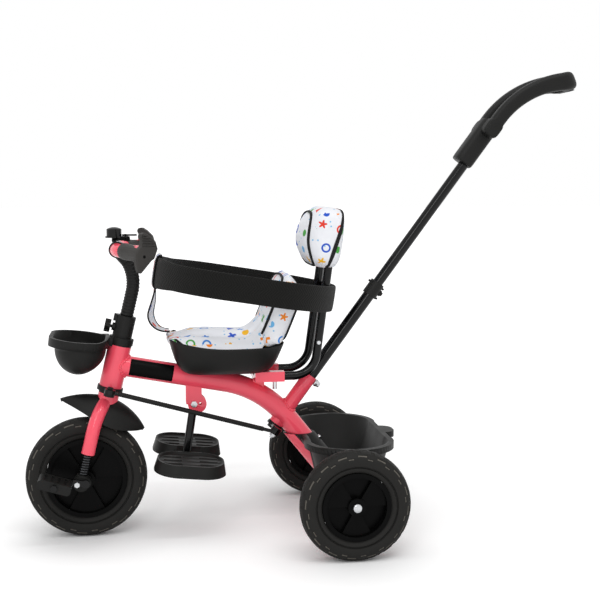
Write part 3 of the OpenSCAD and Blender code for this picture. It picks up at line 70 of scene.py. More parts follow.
# %% [markdown]
# Every finish is a small tree of nodes. Two helpers keep them short: one turns the hex colours of a paint
# chart into the linear numbers that a renderer needs, and one adds a node with its settings and links.

# %% Helpers for finishes
def lin(code):
    """Linear colour of an sRGB hex code."""
    parts = [int(code[i:i + 2], 16) / 255 for i in (1, 3, 5)]
    return [c / 12.92 if c <= 0.04045 else ((c + 0.055) / 1.055) ** 2.4 for c in parts] + [1.0]


def add(tree, kind, feeds=None, **settings):
    """Add a shader node of that kind, set its options, and fill or link its inputs."""
    made = tree.nodes.new("ShaderNode" + kind)
    for name, value in settings.items():
        setattr(made, name, value)
    for socket, value in (feeds or {}).items():
        if isinstance(value, bpy.types.NodeSocket):
            tree.links.new(value, made.inputs[socket])
        else:
            made.inputs[socket].default_value = value
    return made


def finish(name, **sockets):
    """New material with its shader's own sockets set."""
    made = bpy.data.materials.new(name)
    made.use_nodes = True
    shader = made.node_tree.nodes["Principled BSDF"]
    for socket, value in sockets.items():
        shader.inputs[socket.replace("_", " ")].default_value = value
    return made, made.node_tree, shader


def coated(name, spots, tones, grain, gloss=None, **sockets):
    """Material whose colour drifts between two tones over spots of that size, with a bump of that grain (size and
    height), all in metres. Where gloss is given, the roughness drifts with the colour between its two values."""
    made, tree, shader = finish(name, **sockets)
    place = add(tree, "TexCoord").outputs["Object"]
    cloud = add(tree, "TexNoise", {"Vector": place, "Scale": 1 / spots, "Detail": 4.0}).outputs[0]
    shade = add(tree, "Mix", {"Factor": cloud, 6: lin(tones[0]), 7: lin(tones[1])}, data_type="RGBA")
    tree.links.new(shade.outputs[2], shader.inputs["Base Color"])
    size, height = grain
    pits = add(tree, "TexNoise", {"Vector": place, "Scale": 1 / size, "Detail": 2.0})
    bump = add(tree, "Bump", {"Height": pits.outputs[0], "Distance": height, "Strength": 1.0})
    tree.links.new(bump.outputs[0], shader.inputs["Normal"])
    if gloss:
        dull = add(tree, "MapRange", {"Value": cloud, "To Min": gloss[0], "To Max": gloss[1]})
        tree.links.new(dull.outputs[0], shader.inputs["Roughness"])
    return made


print("helpers ready")

# %% [markdown]
# The frame and fork are welded steel, powder coated in one pink. Baked powder has a faint orange peel of two
# to three millimetres and a clear gloss, so a coat lies over a colour that hardly drifts.

# %% Pink powder coat
pink_coat = coated("pink_powder_coat", 0.05, ("#f94f64", "#ff566b"), (0.0026, 0.00006), Roughness=0.4, IOR=1.5,
                   Specular_IOR_Level=0.2, Coat_Weight=0.7, Coat_Roughness=0.06)
print(pink_coat.name)

# %% [markdown]
# Black parts are not all one black. The tubes are gloss enamel, the baskets and pan are moulded polypropylene
# with a spark-eroded grain, the hubs are smoother and blacker, the grips are softer and greyer, and the bell is
# lacquered.

# %% Black finishes
black_enamel = coated("black_enamel_tube", 0.04, ("#050506", "#0a0a0b"), (0.003, 0.00004),
                      Roughness=0.14, IOR=1.5, Specular_IOR_Level=0.25)
moulded_black = coated("moulded_polypropylene", 0.03, ("#121211", "#191918"), (0.0009, 0.00005), (0.42, 0.58),
                       IOR=1.49, Specular_IOR_Level=0.2)
hub_black = coated("hub_polypropylene", 0.025, ("#040404", "#080808"), (0.0016, 0.00003), (0.26, 0.42),
                   IOR=1.49, Specular_IOR_Level=0.06)
grip_rubber = coated("soft_grip_plastic", 0.02, ("#211f1d", "#2c2926"), (0.0012, 0.00008),
                     Roughness=0.55, IOR=1.5, Specular_IOR_Level=0.4)
bell_lacquer = coated("black_bell_lacquer", 0.01, ("#060606", "#0c0c0c"), (0.002, 0.00003),
                      Roughness=0.1, IOR=1.5, Specular_IOR_Level=0.25)
print(black_enamel.name, moulded_black.name, hub_black.name, grip_rubber.name, bell_lacquer.name)

# %% [markdown]
# The tyres are foamed EVA, cut from the mould with a dull skin full of tiny pores. Dust stays in the pores and
# in the tread slots, so the foam drifts from near black to a brownish grey and the slots are paler.

# %% Foam tyre finishes
tyre_foam = coated("eva_foam_tyre", 0.028, ("#151514", "#232220"), (0.0011, 0.00012), (0.6, 0.8),
                   IOR=1.45, Specular_IOR_Level=0.25)
slot_dust = coated("dusty_tread_slot", 0.01, ("#4b4843", "#6e6a63"), (0.001, 0.0001),
                   Roughness=0.85, IOR=1.45, Specular_IOR_Level=0.2)
print(tyre_foam.name, slot_dust.name)

# %% [markdown]
# Bolts, nuts and the axle are zinc plated: bright, slightly blue, with a fine rolled haze. The springs are
# the same steel under a dark film of oil.

# %% Metal finishes
zinc_plate = coated("zinc_plated_steel", 0.006, ("#b9bcc0", "#d9dadb"), (0.0008, 0.00003), (0.2, 0.38), Metallic=1.0)
oiled_steel = coated("oiled_spring_steel", 0.005, ("#2c2d2f", "#5c5d60"), (0.0007, 0.00003),
                     Metallic=1.0, Roughness=0.35)
print(zinc_plate.name, oiled_steel.name)

# %% [markdown]
# The hard parts keep their solids and only change finish. Each solid already carries material slots, so the
# new finish goes into those slots and the mesh stays as it is.

# %% Dress the hard parts
wears = {
    pink_coat: "main_frame fork handlebar",
    black_enamel: "back_rail handle_lower handle_upper push_rod footrest_post handle_crank pedal_crank",
    moulded_black: "headset_cups handle_bush seat_pan rear_basket mudguard stem_sleeve front_basket stem_knob "
                   "axle_carriers pedal_left pedal_right bar_clamp handle_collar handle_button foot_plates "
                   "steering_arm stem",
    hub_black: "front_hub rear_hub_left rear_hub_right bell_lever",
    bell_lacquer: "bell",
    grip_rubber: "grip_left grip_right handle_grip",
    zinc_plate: "rear_axle axle_caps frame_bolts footrest_bolt",
    oiled_steel: "fork_springs",
    tyre_foam: "front_tyre rear_tyre_left rear_tyre_right",
}
for coat, names in wears.items():
    for name in names.split():
        data = nodes[name].data
        if not data.materials:
            data.materials.append(coat)
        for i in range(len(data.materials)):
            data.materials[i] = coat
print("dressed", sum(len(names.split()) for names in wears.values()), "parts")

# %% [markdown]
# New pieces are meshes built with bmesh operators. One helper turns a finished bmesh into an object that
# rides on its body, one walks a ring of edges along a path, and one lays out the frames of that path. Places are
# read off in the design's frame, whose front axle stands at x = 0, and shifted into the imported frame.

# %% Helpers for pieces
MM = 0.001
X0 = 0.42092
LEFT, UP = Vector((0, 1, 0)), Vector((0, 0, 1))


def design(x, y, z):
    """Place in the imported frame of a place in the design."""
    return Vector((x + X0, y, z))


def clamp(value):
    return min(1, max(0, value))


def copied(node):
    """Bmesh of a solid, with its loose triangles joined."""
    bm = bmesh.new()
    bm.from_mesh(nodes[node].data)
    bmesh.ops.remove_doubles(bm, verts=bm.verts, dist=1e-6)
    return bm


def bare(name, bm):
    """Object at the origin from a bmesh."""
    made = bpy.data.objects.new(name, bpy.data.meshes.new(name))
    bm.to_mesh(made.data)
    bm.free()
    scene.collection.objects.link(made)
    return made


def settle_on(made, body, node=None):
    """Shade smooth, ride on a body, and stand for a solid if one is named."""
    made.data.polygons.foreach_set("use_smooth", [True] * len(made.data.polygons))
    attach(made, body)
    if node:
        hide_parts(node)
    print(made.name, len(made.data.polygons), "faces")


def piece(name, bm, coats, body, crisp=None, node=None):
    """Finished piece from a bmesh. Edges sharper than crisp degrees stay sharp."""
    made = bare(name, bm)
    for coat in coats:
        made.data.materials.append(coat)
    settle_on(made, body, node)
    if crisp:
        made.data.set_sharp_from_angle(angle=math.radians(crisp))
    return made


def stations(points, up, closed):
    """A frame at each point: Z along the path, Y as near to up as can be."""
    last = len(points) - 1
    frames = []
    for i, spot in enumerate(points):
        ahead = points[(i + 1) % len(points)] if closed else points[min(i + 1, last)]
        behind = points[i - 1] if closed else points[max(i - 1, 0)]
        way = (ahead - behind).normalized()
        side = Vector(up).cross(way).normalized()
        frames.append(Matrix((side, way.cross(side), way)).transposed().to_4x4())
        frames[-1].translation = spot
    return frames


def sweep(bm, path, up, wide, high, around, closed=False, shares=None, square=1.0):
    """Walk an oval of that half width and half height along a path; shares scale it at each station.
    A square below 1 fills out the oval's corners. Returns each vertex's station."""
    frames = stations(path, up, closed)
    steps = [f @ Matrix.Diagonal((wide * s, high * s, 1, 1)) for f, s in zip(frames, shares or [1] * len(frames))]
    ring = bmesh.ops.create_circle(bm, radius=1, segments=around)["verts"]
    for v in ring:
        v.co = Vector([math.copysign(abs(c) ** square, c) for c in v.co])
    bmesh.ops.transform(bm, verts=ring, matrix=steps[0])
    start = list({e for v in ring for e in v.link_edges})
    edges, where = start, {v: 0 for v in ring}
    for i, (here, there) in enumerate(zip(steps, steps[1:])):
        grown = bmesh.ops.extrude_edge_only(bm, edges=edges)["geom"]
        ring = [g for g in grown if isinstance(g, bmesh.types.BMVert)]
        edges = [g for g in grown if isinstance(g, bmesh.types.BMEdge) and g.is_boundary]
        bmesh.ops.transform(bm, verts=ring, matrix=there @ here.inverted())
        where.update({v: i + 1 for v in ring})
    if closed:
        bmesh.ops.bridge_loops(bm, edges=start + edges)
    else:
        bmesh.ops.edgeloop_fill(bm, edges=start)
        bmesh.ops.edgeloop_fill(bm, edges=edges)
    bmesh.ops.recalc_face_normals(bm, faces=bm.faces)
    return where


def soften(made, levels):
    """Subdivision surface of equal levels in the view and the render."""
    round_off = made.modifiers.new("round", "SUBSURF")
    round_off.levels = round_off.render_levels = levels


print("piece helpers ready")

# %% [markdown]
# The floor is white paper under soft light from everywhere: a pale sky, a broad sun, a lamp to the side and a strip
# above.
# Seen straight on or in a reflection the sky is simply white, and the paper glows a little for the camera and in
# reflections, more away from the trike; the glow fades out near the wheels' feet, which paints a shadow there.

# %% Floor and light
def on_rays(tree, *kinds):
    """1 on rays of those kinds and 0 on others."""
    rays = add(tree, "LightPath")
    level = 0.0
    for kind in kinds:
        level = add(tree, "Math", {0: level, 1: rays.outputs[f"Is {kind} Ray"]},
                    operation="MAXIMUM").outputs[0]
    return level


sky = bpy.data.worlds.new("pale_sky")
sky.use_nodes = True
scene.world = sky
tree = sky.node_tree
level = add(tree, "MapRange", {"Value": on_rays(tree, "Camera", "Glossy", "Transmission"),
                                         "To Min": 0.6, "To Max": 1.0})
tree.links.new(level.outputs[0], tree.nodes["Background"].inputs["Strength"])
tree.nodes["Background"].inputs["Color"].default_value = lin("#ffffff")

paper, tree, shader = finish("white_paper", Base_Color=lin("#fdfdfd"), Roughness=0.9, Specular_IOR_Level=0.0)
place = add(tree, "TexCoord").outputs["Object"]
away = add(tree, "VectorMath", {0: place}, operation="LENGTH")
glow_with_painted_shadow = add(tree, "MapRange", {"Value": away.outputs["Value"], "From Min": 0.5, "From Max": 2.2,
                                        "To Min": 0.18, "To Max": 0.45}).outputs[0]
# painted shadow: the floor's glow falls to none near each wheel's foot
for wheel in ("front_tyre", "rear_tyre_left", "rear_tyre_right"):
    low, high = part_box(wheel)
    foot = ((low.x + high.x) / 2, (low.y + high.y) / 2, 0)
    near = add(tree, "VectorMath", {0: place, 1: foot}, operation="DISTANCE")
    near = add(tree, "MapRange", {"Value": near.outputs["Value"], "From Min": 0.03, "From Max": 0.2})
    glow_with_painted_shadow = add(tree, "Math", {0: glow_with_painted_shadow, 1: near.outputs[0]}, operation="MULTIPLY").outputs[0]
floor_glow_with_painted_shadow = add(tree, "Math", {0: on_rays(tree, "Camera", "Glossy"), 1: glow_with_painted_shadow}, operation="MULTIPLY")
tree.links.new(floor_glow_with_painted_shadow.outputs[0], shader.inputs["Emission Strength"])
shader.inputs["Emission Color"].default_value = lin("#ffffff")
bm = bmesh.new()
bmesh.ops.create_grid(bm, x_segments=1, y_segments=1, size=30)
floor = bare("floor", bm)
floor.data.materials.append(paper)

lamps = (("lamp_above", "SUN", (0.4, 0.9, 3.0), (0, 0, 0.3), 0.75, math.radians(60)),
         ("lamp_side", "AREA", (0.9, 2.4, 1.5), (0, 0, 0.35), 10, (0.35, 1.4)),
         ("lamp_strip", "AREA", (-0.2, 1.3, 2.5), (-0.1, 0, 0.3), 9, (1.8, 0.1)))
for name, kind, spot, target, power, size in lamps:
    lamp = bpy.data.objects.new(name, bpy.data.lights.new(name, kind))
    lamp.location = spot
    lamp.rotation_euler = (Vector(target) - Vector(spot)).to_track_quat("-Z", "Y").to_euler()
    lamp.data.energy = power
    if kind == "SUN":
        lamp.data.angle = size
    else:
        lamp.data.shape, (lamp.data.size, lamp.data.size_y) = "RECTANGLE", size
    scene.collection.objects.link(lamp)
print("floor and", len(lamps), "lamps")

# %% [markdown]
# A foam tyre is one moulding with a crowned tread and rounded shoulders. Its half profile is spun about the
# axle; then faces of the shoulder bands are inset and pushed in as short slots, and the tread's faces are
# inset and pushed out as low blocks, so the pattern is real relief that catches light.

# %% Tyres
def tyre(node, body):
    low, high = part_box(node)
    middle, outer, half = (low + high) / 2, (high.z - low.z) / 2, (high.y - low.y) / 2
    inner = outer - 0.0375
    profile = [(inner, -0.72), (inner + 0.005, -0.88), (inner + 0.0085, -0.9), (inner + 0.0097, -0.79),
               (inner + 0.0112, -0.79), (inner + 0.0125, -0.94), (inner + 0.018, -1.0), (outer - 0.0135, -0.99),
               (outer - 0.0095, -0.93), (outer - 0.0085, -0.9), (outer - 0.0045, -0.75), (outer - 0.0035, -0.7),
               (outer - 0.0008, -0.36), (outer, 0.0)]
    profile += [(r, -y) for r, y in profile[-2::-1]]
    bm = bmesh.new()
    verts = [bm.verts.new((r, y * half, 0)) for r, y in profile]
    edges = [bm.edges.new(pair) for pair in zip(verts, verts[1:])] + [bm.edges.new((verts[-1], verts[0]))]
    bmesh.ops.spin(bm, geom=verts + edges, cent=(0, 0, 0), axis=LEFT, angle=math.tau, steps=96, use_merge=True)
    bmesh.ops.remove_doubles(bm, verts=bm.verts, dist=1e-6)
    bmesh.ops.recalc_face_normals(bm, faces=bm.faces)

    def band(deep, shallow, side):
        """Faces between two depths below the tread on one side, in order round the axle."""
        picked = []
        for f in bm.faces:
            c = f.calc_center_median()
            if outer - deep < math.hypot(c.x, c.z) < outer - shallow and c.y * side > 0:
                picked.append((math.atan2(c.z, c.x) % math.tau, f))
        return enumerate(f for _, f in sorted(picked, key=lambda p: p[0]))

    slots, blocks = [], []
    for side in (-1, 1):
        shift = 2 if side > 0 else 0
        slots += [f for i, f in band(0.0085, 0.0045, side) if i % 6 in (0, 1, 2)]
        slots += [f for i, f in band(0.0135, 0.0095, side) if i % 6 in (3, 4)]
        blocks += [f for i, f in band(0.0008, 0, side) if (i + shift) % 4 != 0]
        blocks += [f for i, f in band(0.0035, 0.0008, side) if (i + shift) % 4 != 2]
    bmesh.ops.inset_region(bm, faces=slots, thickness=0.0014, depth=-0.001)
    for f in slots:
        f.material_index = 1
    bmesh.ops.inset_region(bm, faces=blocks, thickness=0.0009, depth=0.0008)
    bmesh.ops.translate(bm, verts=bm.verts, vec=middle)
    piece(node + "_foam", bm, [tyre_foam, slot_dust], body, 35, node)


for node, body in (("front_tyre", "front_wheel"), ("rear_tyre_left", "rear_left_wheel"),
                   ("rear_tyre_right", "rear_right_wheel")):
    tyre(node, body)

# %% [markdown]
# The seat pan is a boat-shaped moulding. The solid's facets are merged into quads and rounded by one
# subdivision surface, which also turns the cut rim into a soft lip. Its ends and sides are drawn a little
# fuller than the solid's, as a blow-moulded hull is.

# %% Seat pan
PAN_FRONT, PAN_LENGTH, PAN_FLOOR = 0.156, 0.218, 0.31
TUBE_R, TUBE_LEAN, TUBE_ROOT = 0.02, math.radians(10.5), design(-0.0577291, 0, 0.328757)
BEND_R, BEND_MID = 0.2, design(-0.22845, 0, 0.09371)


def pan_line(u):
    """Rim height and half width of the pan at a share of its length, and how near that is to an end."""
    end = abs(2 * u - 1)
    return 0.369 + (0.021 if u < 0.5 else 0.003) * end ** 2, 0.11 * (1 - 0.42 * end ** 4), end


def pan_under(u, side, ends, sides):
    """Underside of the pan; higher powers make fuller ends and sides."""
    rim, _, end = pan_line(u)
    floor_z = PAN_FLOOR + (rim - PAN_FLOOR) * end ** ends
    return floor_z + (rim - floor_z) * side ** sides


def tip_drop(u):
    """How far the front tip hangs below the solid's."""
    return 0.006 * max(0, 1 - u / 0.22) ** 2


def tube_crown(x, y):
    """Top of the main tube under the pan, straight in front and bent behind."""
    if abs(y) >= TUBE_R:
        return 0
    if x > BEND_MID.x - BEND_R * math.sin(TUBE_LEAN):
        tilt = TUBE_LEAN
        axis = TUBE_ROOT.z + (x - TUBE_ROOT.x) * math.tan(tilt)
    else:
        tilt = math.asin((BEND_MID.x - x) / BEND_R)
        axis = BEND_MID.z + BEND_R * math.cos(tilt)
    return axis + math.sqrt(TUBE_R ** 2 - y * y) / math.cos(tilt) + 0.0026


bm = copied("seat_pan")
bmesh.ops.join_triangles(bm, faces=bm.faces, angle_face_threshold=1.2, angle_shape_threshold=1.2)
for v in bm.verts:
    u = clamp((X0 - v.co.x - PAN_FRONT) / PAN_LENGTH)
    side = min(1, abs(v.co.y) / pan_line(u)[1])
    crown = tube_crown(v.co.x, v.co.y)
    over = v.co.z - max(pan_under(u, side, 3.2, 3.5), crown)
    v.co.z = max(pan_under(u, side, 8, 4.5), crown) + over - tip_drop(u)
pan = piece("seat_pan_moulding", bm, [moulded_black], "frame", node="seat_pan")
soften(pan, 1)

# %% [markdown]
# The seat cover is white polyester, printed with small bright motifs. The print here is a plain one of its own:
# dots, rings, crosses, triangles and stars strewn over a loose grid of 34 mm, with a few specks between them.
# A Voronoi texture gives every cell of the grid a middle and a random colour, and the distance from that
# middle draws the motif. It reads the piece's own flat pattern, so it stays upright on each panel.

# %% Printed fabric
printed_cover, tree, shader = finish("printed_polyester", Roughness=0.8, IOR=1.45, Specular_IOR_Level=0.2,
                                     Sheen_Weight=0.1, Sheen_Roughness=0.5)
flat = add(tree, "UVMap", uv_map="panel").outputs[0]
cell = 0.034
grid = add(tree, "TexVoronoi", {"Vector": flat, "Scale": 1 / cell, "Randomness": 0.55},
           voronoi_dimensions="2D")
draw = add(tree, "SeparateColor", {"Color": grid.outputs["Color"]})
offset = add(tree, "VectorMath", {0: flat, 1: grid.outputs["Position"]}, operation="SUBTRACT")
offset = add(tree, "VectorMath", {0: offset.outputs[0], "Scale": 1 / cell}, operation="SCALE")
angle = add(tree, "Math", {0: draw.outputs[2], 1: math.tau}, operation="MULTIPLY")
offset = add(tree, "VectorRotate", {"Vector": offset.outputs[0], "Angle": angle.outputs[0]},
             rotation_type="Z_AXIS")
apart = add(tree, "VectorMath", {0: offset.outputs[0]}, operation="LENGTH")
part = add(tree, "SeparateXYZ", {0: offset.outputs[0]})
got = {"x": part.outputs[0], "y": part.outputs[1], "apart": apart.outputs["Value"]}
# each motif is a distance that is below zero inside it; a row says name, operation and the two values
sums = (
    ("right", "ABSOLUTE", "x", 0.0), ("tall", "ABSOLUTE", "y", 0.0), ("dot", "SUBTRACT", "apart", 0.19),
    ("off", "SUBTRACT", "apart", 0.21), ("off", "ABSOLUTE", "off", 0.0), ("hoop", "SUBTRACT", "off", 0.05),
    ("less", "MINIMUM", "right", "tall"), ("less", "SUBTRACT", "less", 0.075), ("more", "MAXIMUM", "right", "tall"),
    ("more", "SUBTRACT", "more", 0.25), ("cross", "MAXIMUM", "less", "more"), ("low", "MULTIPLY", "y", -1.0),
    ("slope", "MULTIPLY", "right", 0.866), ("half", "MULTIPLY", "y", 0.5), ("slope", "ADD", "slope", "half"),
    ("wedge", "MAXIMUM", "low", "slope"), ("wedge", "SUBTRACT", "wedge", 0.14), ("wave", "ARCTAN2", "y", "x"),
    ("wave", "MULTIPLY", "wave", 5.0), ("wave", "COSINE", "wave", 0.0), ("wave", "MULTIPLY", "wave", 0.07),
    ("wave", "ADD", "wave", 0.17), ("star", "SUBTRACT", "apart", "wave"))
for name, how, one, other in sums:
    got[name] = add(tree, "Math", {0: got.get(one, one), 1: got.get(other, other)}, operation=how).outputs[0]
motif = got["dot"]
for share, shape in ((0.25, "hoop"), (0.45, "cross"), (0.62, "wedge"), (0.8, "star")):
    pick = add(tree, "Math", {0: draw.outputs[1], 1: share}, operation="GREATER_THAN")
    motif = add(tree, "Mix", {"Factor": pick.outputs[0], 2: motif, 3: got[shape]},
                data_type="FLOAT").outputs[0]
ink = add(tree, "MapRange", {"Value": motif, "From Min": -0.012, "From Max": 0.012, "To Min": 1.0,
                                       "To Max": 0.0})
inks = add(tree, "ValToRGB", {"Fac": draw.outputs[0]})
inks.color_ramp.interpolation = "CONSTANT"
colours = ("#2b57c4", "#6fb7e8", "#e2402f", "#f0b62b", "#4aa245", "#f08a2c", "#3a86d6")
while len(inks.color_ramp.elements) < len(colours):
    inks.color_ramp.elements.new(0.5)
for i, code in enumerate(colours):
    inks.color_ramp.elements[i].position = i / len(colours)
    inks.color_ramp.elements[i].color = lin(code)
specks = add(tree, "TexVoronoi", {"Vector": flat, "Scale": 1 / 0.012, "Randomness": 0.9},
             voronoi_dimensions="2D")
chance = add(tree, "SeparateColor", {"Color": specks.outputs["Color"]})
near = add(tree, "Math", {0: specks.outputs["Distance"], 1: 0.14}, operation="LESS_THAN")
few = add(tree, "Math", {0: chance.outputs[0], 1: 0.72}, operation="GREATER_THAN")
speck = add(tree, "Math", {0: near.outputs[0], 1: few.outputs[0]}, operation="MULTIPLY").outputs[0]
cloud = add(tree, "TexNoise", {"Vector": flat, "Scale": 1 / 0.06, "Detail": 2.0})
ground = add(tree, "Mix", {"Factor": cloud.outputs[0], 6: lin("#e9ebf1"), 7: lin("#f1f2f6")},
             data_type="RGBA")
speckled = add(tree, "Mix", {"Factor": speck, 6: ground.outputs[2], 7: lin("#8fc4e6")}, data_type="RGBA")
colour = add(tree, "Mix", {"Factor": ink.outputs[0], 6: speckled.outputs[2], 7: inks.outputs[0]},
             data_type="RGBA")
tree.links.new(colour.outputs[2], shader.inputs["Base Color"])
# threads of 0.35 mm are drawn at 1.2 mm, or the weave would not show
warp = add(tree, "TexWave", {"Vector": flat, "Scale": math.tau / 20 / 0.0012}, bands_direction="X")
weft = add(tree, "TexWave", {"Vector": flat, "Scale": math.tau / 20 / 0.0012}, bands_direction="Y")
weave = add(tree, "Math", {0: warp.outputs["Fac"], 1: weft.outputs["Fac"]}, operation="ADD").outputs[0]
creases = add(tree, "TexNoise", {"Vector": flat, "Scale": 1 / 0.022, "Detail": 3.0})
bump = add(tree, "Bump", {"Height": weave, "Distance": 0.00006, "Strength": 0.7})
bump = add(tree, "Bump", {"Height": creases.outputs[0], "Distance": 0.0022, "Strength": 0.6,
                                    "Normal": bump.outputs[0]})
tree.links.new(bump.outputs[0], shader.inputs["Normal"])
print(printed_cover.name, "cell", cell)

# %% [markdown]
# The guard ring wears a black spacer knit, whose slanted ribs show as a fine herringbone, and every edge of the
# white cover is bound with a black ribbed tape.

# %% Knit and tape
black_knit, tree, shader = finish("black_spacer_knit", Roughness=0.9, IOR=1.45, Specular_IOR_Level=0.1,
                                  Sheen_Weight=0.12, Sheen_Roughness=0.6)
flat = add(tree, "UVMap", uv_map="panel").outputs[0]
# ribs of about 1.5 mm are drawn at 4 mm so that they show
slanted = [add(tree, "TexWave", {"Vector": add(tree, "Mapping", {
    "Vector": flat, "Rotation": (0, 0, turn)}).outputs[0], "Scale": math.tau / 20 / 0.004,
    "Distortion": 0.6}, bands_direction="X") for turn in (0.7, -0.7)]
rows = add(tree, "TexWave", {"Vector": flat, "Scale": math.tau / 20 / 0.024}, bands_direction="Y")
pick = add(tree, "Math", {0: rows.outputs["Fac"], 1: 0.5}, operation="GREATER_THAN")
rib = add(tree, "Mix", {"Factor": pick.outputs[0], 2: slanted[0].outputs["Fac"],
                                  3: slanted[1].outputs["Fac"]}, data_type="FLOAT")
shade = add(tree, "Mix", {"Factor": rib.outputs[0], 6: lin("#0b0b0a"), 7: lin("#161614")},
            data_type="RGBA")
tree.links.new(shade.outputs[2], shader.inputs["Base Color"])
bump = add(tree, "Bump", {"Height": rib.outputs[0], "Distance": 0.0005, "Strength": 0.8})
tree.links.new(bump.outputs[0], shader.inputs["Normal"])

black_tape = coated("black_binding_tape", 0.012, ("#101010", "#1d1c1c"), (0.0018, 0.0002),
                    Roughness=0.75, IOR=1.45, Specular_IOR_Level=0.25)
print(black_knit.name, black_tape.name)

# %% [markdown]
# Padded fabric is blown up, not carved. A copy of the soft solid, a little smaller, is remeshed into even
# cells; its seams are pinned and a light air pressure swells the panels between them for twenty frames. No
# point may travel further than a cap, so the pad stays in the room that its solid holds.

# %% Helpers for padding
def evaluated(made):
    graph = bpy.context.evaluated_depsgraph_get()
    return bpy.data.meshes.new_from_object(made.evaluated_get(graph))


def even_cells(node, name, inset, voxel):
    """Bare object with the solid's form, drawn in by inset and remeshed."""
    bm = copied(node)
    bm.normal_update()
    for v in bm.verts:
        v.co -= v.normal * inset
    made = bare(name, bm)
    cells = made.modifiers.new("cells", "REMESH")
    cells.mode, cells.voxel_size = "VOXEL", voxel
    made.data = evaluated(made)
    made.modifiers.clear()
    return made


def swell(made, cap, pressure, pinned, still=None):
    """Air pressure between the pinned seams, capped; still keeps the points that rest on something."""
    rest = [v.co.copy() for v in made.data.vertices]
    group = made.vertex_groups.new(name="seam")
    group.add([v.index for v in made.data.vertices if pinned(v) or (still and still(v.co))], 1.0, "REPLACE")
    cloth = made.modifiers.new("air", "CLOTH")
    cloth.settings.use_pressure = True
    cloth.settings.uniform_pressure_force = pressure
    cloth.settings.effector_weights.gravity = 0
    cloth.settings.vertex_group_mass = "seam"
    cloth.settings.quality = 4
    for i in range(1, 21):
        scene.frame_set(i)
    swollen = [v.co.copy() for v in evaluated(made).vertices]
    scene.frame_set(1)
    made.modifiers.clear()
    made.vertex_groups.clear()
    for v, old, new in zip(made.data.vertices, rest, swollen):
        move = new - old
        v.co = old + move * min(1, cap / max(move.length, 1e-9))
    print(made.name, "swelled by up to", round(max((n - o).length for n, o in zip(swollen, rest)) * 1000, 1), "mm")


def lay_panels(made):
    """Flat pattern in metres, one panel for each way that the faces look."""
    bm = bmesh.new()
    bm.from_mesh(made.data)
    flat = bm.loops.layers.uv.new("panel")
    bm.normal_update()
    for f in bm.faces:
        axis = max(range(3), key=lambda i: abs(f.normal[i]))
        across, along = ((1, 2), (0, 2), (0, 1))[axis]
        for corner in f.loops:
            corner[flat].uv = (corner.vert.co[across] + axis * 0.37, corner.vert.co[along])
    bm.to_mesh(made.data)
    bm.free()


def cover(made, node):
    """Finish a padded piece: print, smooth shading, one subdivision, and what it stands for."""
    lay_panels(made)
    made.data.materials.clear()
    made.data.materials.append(printed_cover)
    soften(made, 1)
    settle_on(made, "frame", node)


print("padding helpers ready")

# %% [markdown]
# The headrest and the back cushion are boxed cushions: a front and a rear panel, a side panel between them, and
# taped seams where they meet. Each seam keeps a depth of the cushion that changes with the height, so the pad is
# sheared until that depth is a plane, cut there, and the tape walks round the cut.

# %% Boxed cushions
lean = math.radians(7.6)
rail_foot = design(-0.432395, 0, 0.306)


def turned(at, tilt):
    """Frame of a part that leans back by tilt, standing at a point."""
    return Matrix.Translation(at) @ Matrix.Rotation(-tilt, 4, "Y")


def cut_line(made, at, depth):
    """Points round the outermost cut of a mesh, at a depth of its own frame that changes with the height."""
    bm = bmesh.new()
    bm.from_mesh(made.data)
    bmesh.ops.transform(bm, verts=bm.verts, matrix=at.inverted())
    for v in bm.verts:
        v.co.x -= depth(v.co.z)
    cut = bmesh.ops.bisect_plane(bm, geom=bm.verts[:] + bm.edges[:] + bm.faces[:], plane_co=(0, 0, 0),
                                 plane_no=(1, 0, 0))
    edges = {g for g in cut["geom_cut"] if isinstance(g, bmesh.types.BMEdge)}
    loops = []
    while edges:
        edge = edges.pop()
        walk, tip = [edge.verts[0], edge.verts[1]], edge.verts[1]
        while True:
            step = next((e for e in tip.link_edges if e in edges), None)
            if step is None:
                break
            edges.discard(step)
            tip = step.other_vert(tip)
            walk.append(tip)
        loops.append([at @ (v.co + Vector((depth(v.co.z), 0, 0))) for v in walk[:-1]])
    bm.free()
    return max(loops, key=lambda path: sum((a - b).length for a, b in zip(path, path[1:])))


def even_path(points, gap, closed=True):
    """The same path with its points a fixed gap apart."""
    line = points + points[:1] if closed else points
    spans = [(b - a).length for a, b in zip(line, line[1:])]
    count = max(8, round(sum(spans) / gap))
    out, done, k = [], 0.0, 0
    for i in range(count + (0 if closed else 1)):
        goal = sum(spans) * i / count
        while k < len(spans) - 1 and done + spans[k] < goal:
            done += spans[k]
            k += 1
        out.append(line[k].lerp(line[k + 1], min(1, (goal - done) / max(spans[k], 1e-9))))
    for _ in range(3):
        old = [p.copy() for p in out]
        for i in range(0 if closed else 1, len(out) - (0 if closed else 1)):
            out[i] = (old[i - 1] + old[i] * 2 + old[(i + 1) % len(old)]) / 4
    return out


def tape(name, paths, up, wide, high):
    """Binding tape: a flattened bead along closed paths."""
    bm = bmesh.new()
    for path in paths:
        sweep(bm, even_path(path, 0.006), up, wide, high, around=8, closed=True)
    piece(name, bm, [black_tape], "frame")


def boxed(node, name, at, seams, cap, still=None, settle=None):
    """Boxed cushion with taped seams at those depths of its own frame."""
    made = even_cells(node, name, 0.002, 0.005)
    inward = at.inverted()

    def on_seam(v):
        local = inward @ v.co
        return any(abs(local.x - depth(local.z)) < 0.0035 for depth in seams)

    swell(made, cap, 4.0, on_seam, still)
    for v in made.data.vertices if settle else ():
        v.co = at @ settle(inward @ v.co)
    way = at.to_3x3() @ Vector((1, 0, 0))
    lines = [cut_line(made, at, depth) for depth in seams]
    cover(made, node)
    tape(name + "_tape", lines, way, 0.0022, 0.0041)


rest_frame = turned(rail_foot, lean) @ Matrix.Translation((0.009, 0, 0.2637))


